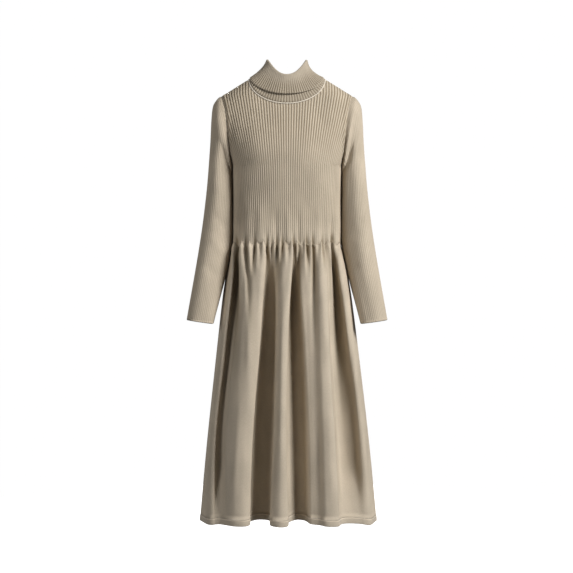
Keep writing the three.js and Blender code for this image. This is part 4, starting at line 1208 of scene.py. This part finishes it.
def hem_finish(name, settings):
    """Turned-up hem: plain knit with the pale line of stitches that holds its top edge."""
    finish = Finish(name)
    place, (across, down, _) = finish.attribute("cloth")
    _, (edge, _, _) = finish.attribute("edge")
    light, dark, pale = (shade(settings.knit_colour, by) for by in (1.13, 0.86, 1.5))
    yarn = finish.noise(place, YARN, 3.0)
    line = finish.band(LINE_FROM, LINE_TO, edge)
    colour = finish.blend(finish.blend(dark, light, yarn), pale, line * 0.8)
    stitches = stitch_height(across, down, settings.stitch_width / MM)
    height = stitches * STITCH_RELIEF + line * zigzag(across / LINE_STITCH) * 0.7
    return finish.matt_cloth(colour, height, KNIT_BUMP, 0.88)


class SweaterDressSettings(PropertyGroup):
    """Colours and sizes of the dress that someone may want to change."""

    knit_colour: FloatVectorProperty(
        name="Knit colour", description="Colour of the yarn", subtype="COLOR",
        size=3, min=0, max=1, default=(0.50, 0.427, 0.330))
    seam_colour: FloatVectorProperty(
        name="Seam colour", description="Colour of the linked seam round the neck", subtype="COLOR",
        size=3, min=0, max=1, default=(0.72, 0.64, 0.53))
    rib_raise: FloatProperty(
        name="Rib height", description="How far the ribs stand out of the cloth", unit="LENGTH",
        min=0, max=0.003, default=0.0014)
    stitch_width: FloatProperty(
        name="Stitch width", description="Width of one knitted stitch", unit="LENGTH",
        min=0.0008, max=0.004, default=0.0017)


class SweaterStageSettings(PropertyGroup):
    """Floor, lights and camera round the dress."""

    floor_height: FloatProperty(
        name="Floor height", description="Height of the floor under the neck opening",
        unit="LENGTH", default=-1.25)
    camera_distance: FloatProperty(
        name="Camera distance", description="Distance of the camera in front of the dress",
        unit="LENGTH", default=3.2)
    camera_height: FloatProperty(
        name="Camera height", description="Height of the camera from the neck opening",
        unit="LENGTH", default=-0.514)
    key_strength: FloatProperty(
        name="Main light", description="Strength of the large light to the right",
        unit="POWER", default=185)
    fill_strength: FloatProperty(
        name="Fill light", description="Strength of the light to the left",
        unit="POWER", default=36)
    back_strength: FloatProperty(
        name="Back light", description="Strength of the light behind the dress",
        unit="POWER", default=36)


class SweaterOperator:
    """What the operators of this panel share."""

    bl_options = {"REGISTER", "UNDO"}

    @staticmethod
    def settings(context):
        return context.scene.sweater_dress

    @classmethod
    def finish(cls, context, name, make, **looks):
        """The material of this name, made with these looks when it isn't there yet."""
        return bpy.data.materials.get(name) or make(name, cls.settings(context), **looks)


class DRESS_OT_bodice(SweaterOperator, Operator):
    """Build the ribbed front and back of the bodice"""

    bl_idname = "dress.bodice"
    bl_label = "Bodice"

    def execute(self, context):
        rib_raise = self.settings(context).rib_raise / MM
        # Full shade painted into the bodice's rib grooves
        material = self.finish(context, "rib_knit_body", knit_finish, groove_shade=1.0, marks=True)
        for face in FACES:
            mesh = bodice_shell(face, rib_raise).mesh()
            node = f"bodice_{face['name']}"
            place_cloth(node, mesh, material)
        return {"FINISHED"}


class DRESS_OT_sleeves(SweaterOperator, Operator):
    """Build the two ribbed sleeves"""

    bl_idname = "dress.sleeves"
    bl_label = "Sleeves"

    def execute(self, context):
        rib_raise = SLEEVE_RIB_SHARE * self.settings(context).rib_raise / MM
        # A little shade painted into the sleeves' rib grooves
        looks = {"groove_shade": 0.3, "marks": True}
        material = self.finish(context, "rib_knit_sleeve", knit_finish, **looks)
        for side in ("left", "right"):
            mesh = sleeve_shell(side, rib_raise).mesh()
            place_cloth(f"sleeve_{side}", mesh, material)
        return {"FINISHED"}


class DRESS_OT_neck(SweaterOperator, Operator):
    """Build the linked seam round the neck and the doubled collar above it"""

    bl_idname = "dress.neck"
    bl_label = "Neck seam and collar"

    def execute(self, context):
        material = self.finish(context, "linked_seam_yarn", seam_finish)
        grid, value = neck_seam_grid()
        mesh = ring_mesh(grid[::-1], {"cloth": value[::-1]})
        place_cloth("neck_seam", mesh, material)
        # The collar's knit is painted darker as shade, with full shade painted into its rib grooves
        looks = {"groove_shade": 1.0, "tone": 0.8}
        material = self.finish(context, "rib_knit_collar", knit_finish, **looks)
        mesh = ring_mesh(*collar_grid(self.settings(context).rib_raise / MM))
        place_cloth("collar", mesh, material)
        return {"FINISHED"}


class DRESS_OT_skirt(SweaterOperator, Operator):
    """Build the gathered front and back of the skirt"""

    bl_idname = "dress.skirt"
    bl_label = "Skirt"

    def execute(self, context):
        material = self.finish(context, "plain_knit_skirt", knit_finish)
        down = np.linspace(0, 1, SKIRT_ROWS) ** SKIRT_CROWDING
        heights = mix(SKIRT_TOP_Z, HEM_Z + HEM_HEIGHT + SEAM_GAP, down)
        for face in FACES:
            mesh = skirt_shell(face, heights, down, face["span_points"], WALL, 0 * down).mesh()
            node, bodice = f"skirt_{face['name']}", [f"bodice_{face['name']}_cloth"]
            place_cloth(node, mesh, material)
        return {"FINISHED"}


class DRESS_OT_hems(SweaterOperator, Operator):
    """Build the turned-up hems"""

    bl_idname = "dress.hems"
    bl_label = "Hems"

    def execute(self, context):
        material = self.finish(context, "hem_knit_turned", hem_finish)
        up = np.linspace(1, 0, HEM_ROWS)
        edge = HEM_HEIGHT * (1 - up)
        bulge = 0.5 * np.sin(math.pi * up) + swell(edge, *HEM_ROLL)
        rows = (HEM_Z + HEM_HEIGHT * up, np.ones(HEM_ROWS), HEM_SPAN_POINTS, HEM_WALL, bulge, edge)
        for face in FACES:
            mesh = skirt_shell(face, *rows).mesh()
            node, skirt = f"hem_{face['name']}", [f"skirt_{face['name']}_cloth"]
            place_cloth(node, mesh, material)
        return {"FINISHED"}


class DRESS_OT_stage(Operator):
    """Set the floor, the lights and the camera"""

    bl_idname = "dress.stage"
    bl_label = "Floor, lights and camera"
    bl_options = {"REGISTER", "UNDO"}

    def execute(self, context):
        settings = context.scene.sweater_stage
        self.backdrop()
        self.floor(settings.floor_height)
        for name, (place, size, strength) in LIGHTS.items():
            self.light(name, place, size, getattr(settings, strength))
        self.world()
        self.camera(context, settings)
        return {"FINISHED"}

    @staticmethod
    def plain_material(name, colour, glow):
        finish = Finish(name)
        finish.fill(finish.surface, {
            "Base Color": colour + (1,),
            "Roughness": 0.9,
            "Emission Color": (1, 1, 1, 1),
            "Emission Strength": glow,
        })
        return finish.material

    def backdrop(self):
        """A far white dome that is seen but lights nothing."""
        bpy.ops.mesh.primitive_uv_sphere_add(segments=48, ring_count=24, radius=BACKDROP_RADIUS)
        dome = bpy.context.object
        dome.name = "backdrop"
        dome.data.materials.append(self.plain_material("backdrop_white", (0, 0, 0), 1.0))
        for rays in ("diffuse", "glossy", "transmission", "volume_scatter", "shadow"):
            setattr(dome, f"visible_{rays}", False)

    def floor(self, height):
        bpy.ops.mesh.primitive_circle_add(
            vertices=96, radius=FLOOR_RADIUS, fill_type="NGON", location=(0, 0, height))
        floor = bpy.context.object
        floor.name = "floor"
        floor.data.materials.append(self.plain_material("floor_pale", (0.9, 0.89, 0.87), 0.9))
        floor.visible_diffuse = False

    @staticmethod
    def light(name, place, size, strength):
        data = bpy.data.lights.new(name, "AREA")
        data.size, data.energy = size, strength
        lamp = bpy.data.objects.new(name, data)
        lamp.location = place
        lamp.rotation_mode = "QUATERNION"
        lamp.rotation_quaternion = (Vector(LIGHT_TARGET) - Vector(place)).to_track_quat("-Z", "Y")
        bpy.context.scene.collection.objects.link(lamp)

    @staticmethod
    def world():
        world = bpy.data.worlds.new("soft_room")
        world.use_nodes = True
        background = world.node_tree.nodes["Background"]
        background.inputs["Color"].default_value = (1, 1, 1, 1)
        background.inputs["Strength"].default_value = ROOM_LIGHT
        bpy.context.scene.world = world
        bpy.context.scene.view_settings.view_transform = "Standard"

    @staticmethod
    def camera(context, settings):
        data = bpy.data.cameras.new("camera")
        data.lens, data.sensor_width = CAMERA_LENS, CAMERA_SENSOR
        camera = bpy.data.objects.new("camera", data)
        camera.location = (CAMERA_X, -settings.camera_distance, settings.camera_height)
        camera.rotation_euler = (math.pi / 2, 0, 0)
        context.scene.collection.objects.link(camera)
        context.scene.camera = camera


class DRESS_PT_panel(Panel):
    """Lists the pieces of the dress"""

    bl_idname = "DRESS_PT_panel"
    bl_label = "Sweater dress"
    bl_space_type = "VIEW_3D"
    bl_region_type = "UI"
    bl_category = "Dress"

    def draw(self, context):
        for settings in (context.scene.sweater_dress, context.scene.sweater_stage):
            for key in settings.__annotations__:
                self.layout.prop(settings, key)
        for name in OPERATORS:
            self.layout.operator(name.bl_idname)


# In the order in which they are built
OPERATORS = (
    DRESS_OT_neck, DRESS_OT_bodice, DRESS_OT_sleeves, DRESS_OT_skirt, DRESS_OT_hems, DRESS_OT_stage,
)

CLASSES = (SweaterDressSettings, SweaterStageSettings, *OPERATORS, DRESS_PT_panel)


def register():
    for made in CLASSES:
        bpy.utils.register_class(made)
    bpy.types.Scene.sweater_dress = PointerProperty(type=SweaterDressSettings)
    bpy.types.Scene.sweater_stage = PointerProperty(type=SweaterStageSettings)


def unregister():
    del bpy.types.Scene.sweater_stage
    del bpy.types.Scene.sweater_dress
    for made in reversed(CLASSES):
        bpy.utils.unregister_class(made)


def main():
    register()
    bpy.ops.dress.neck()
    bpy.ops.dress.bodice()
    bpy.ops.dress.sleeves()
    bpy.ops.dress.skirt()
    bpy.ops.dress.hems()
    bpy.ops.dress.stage()


if __name__ == "__main__":
    main()
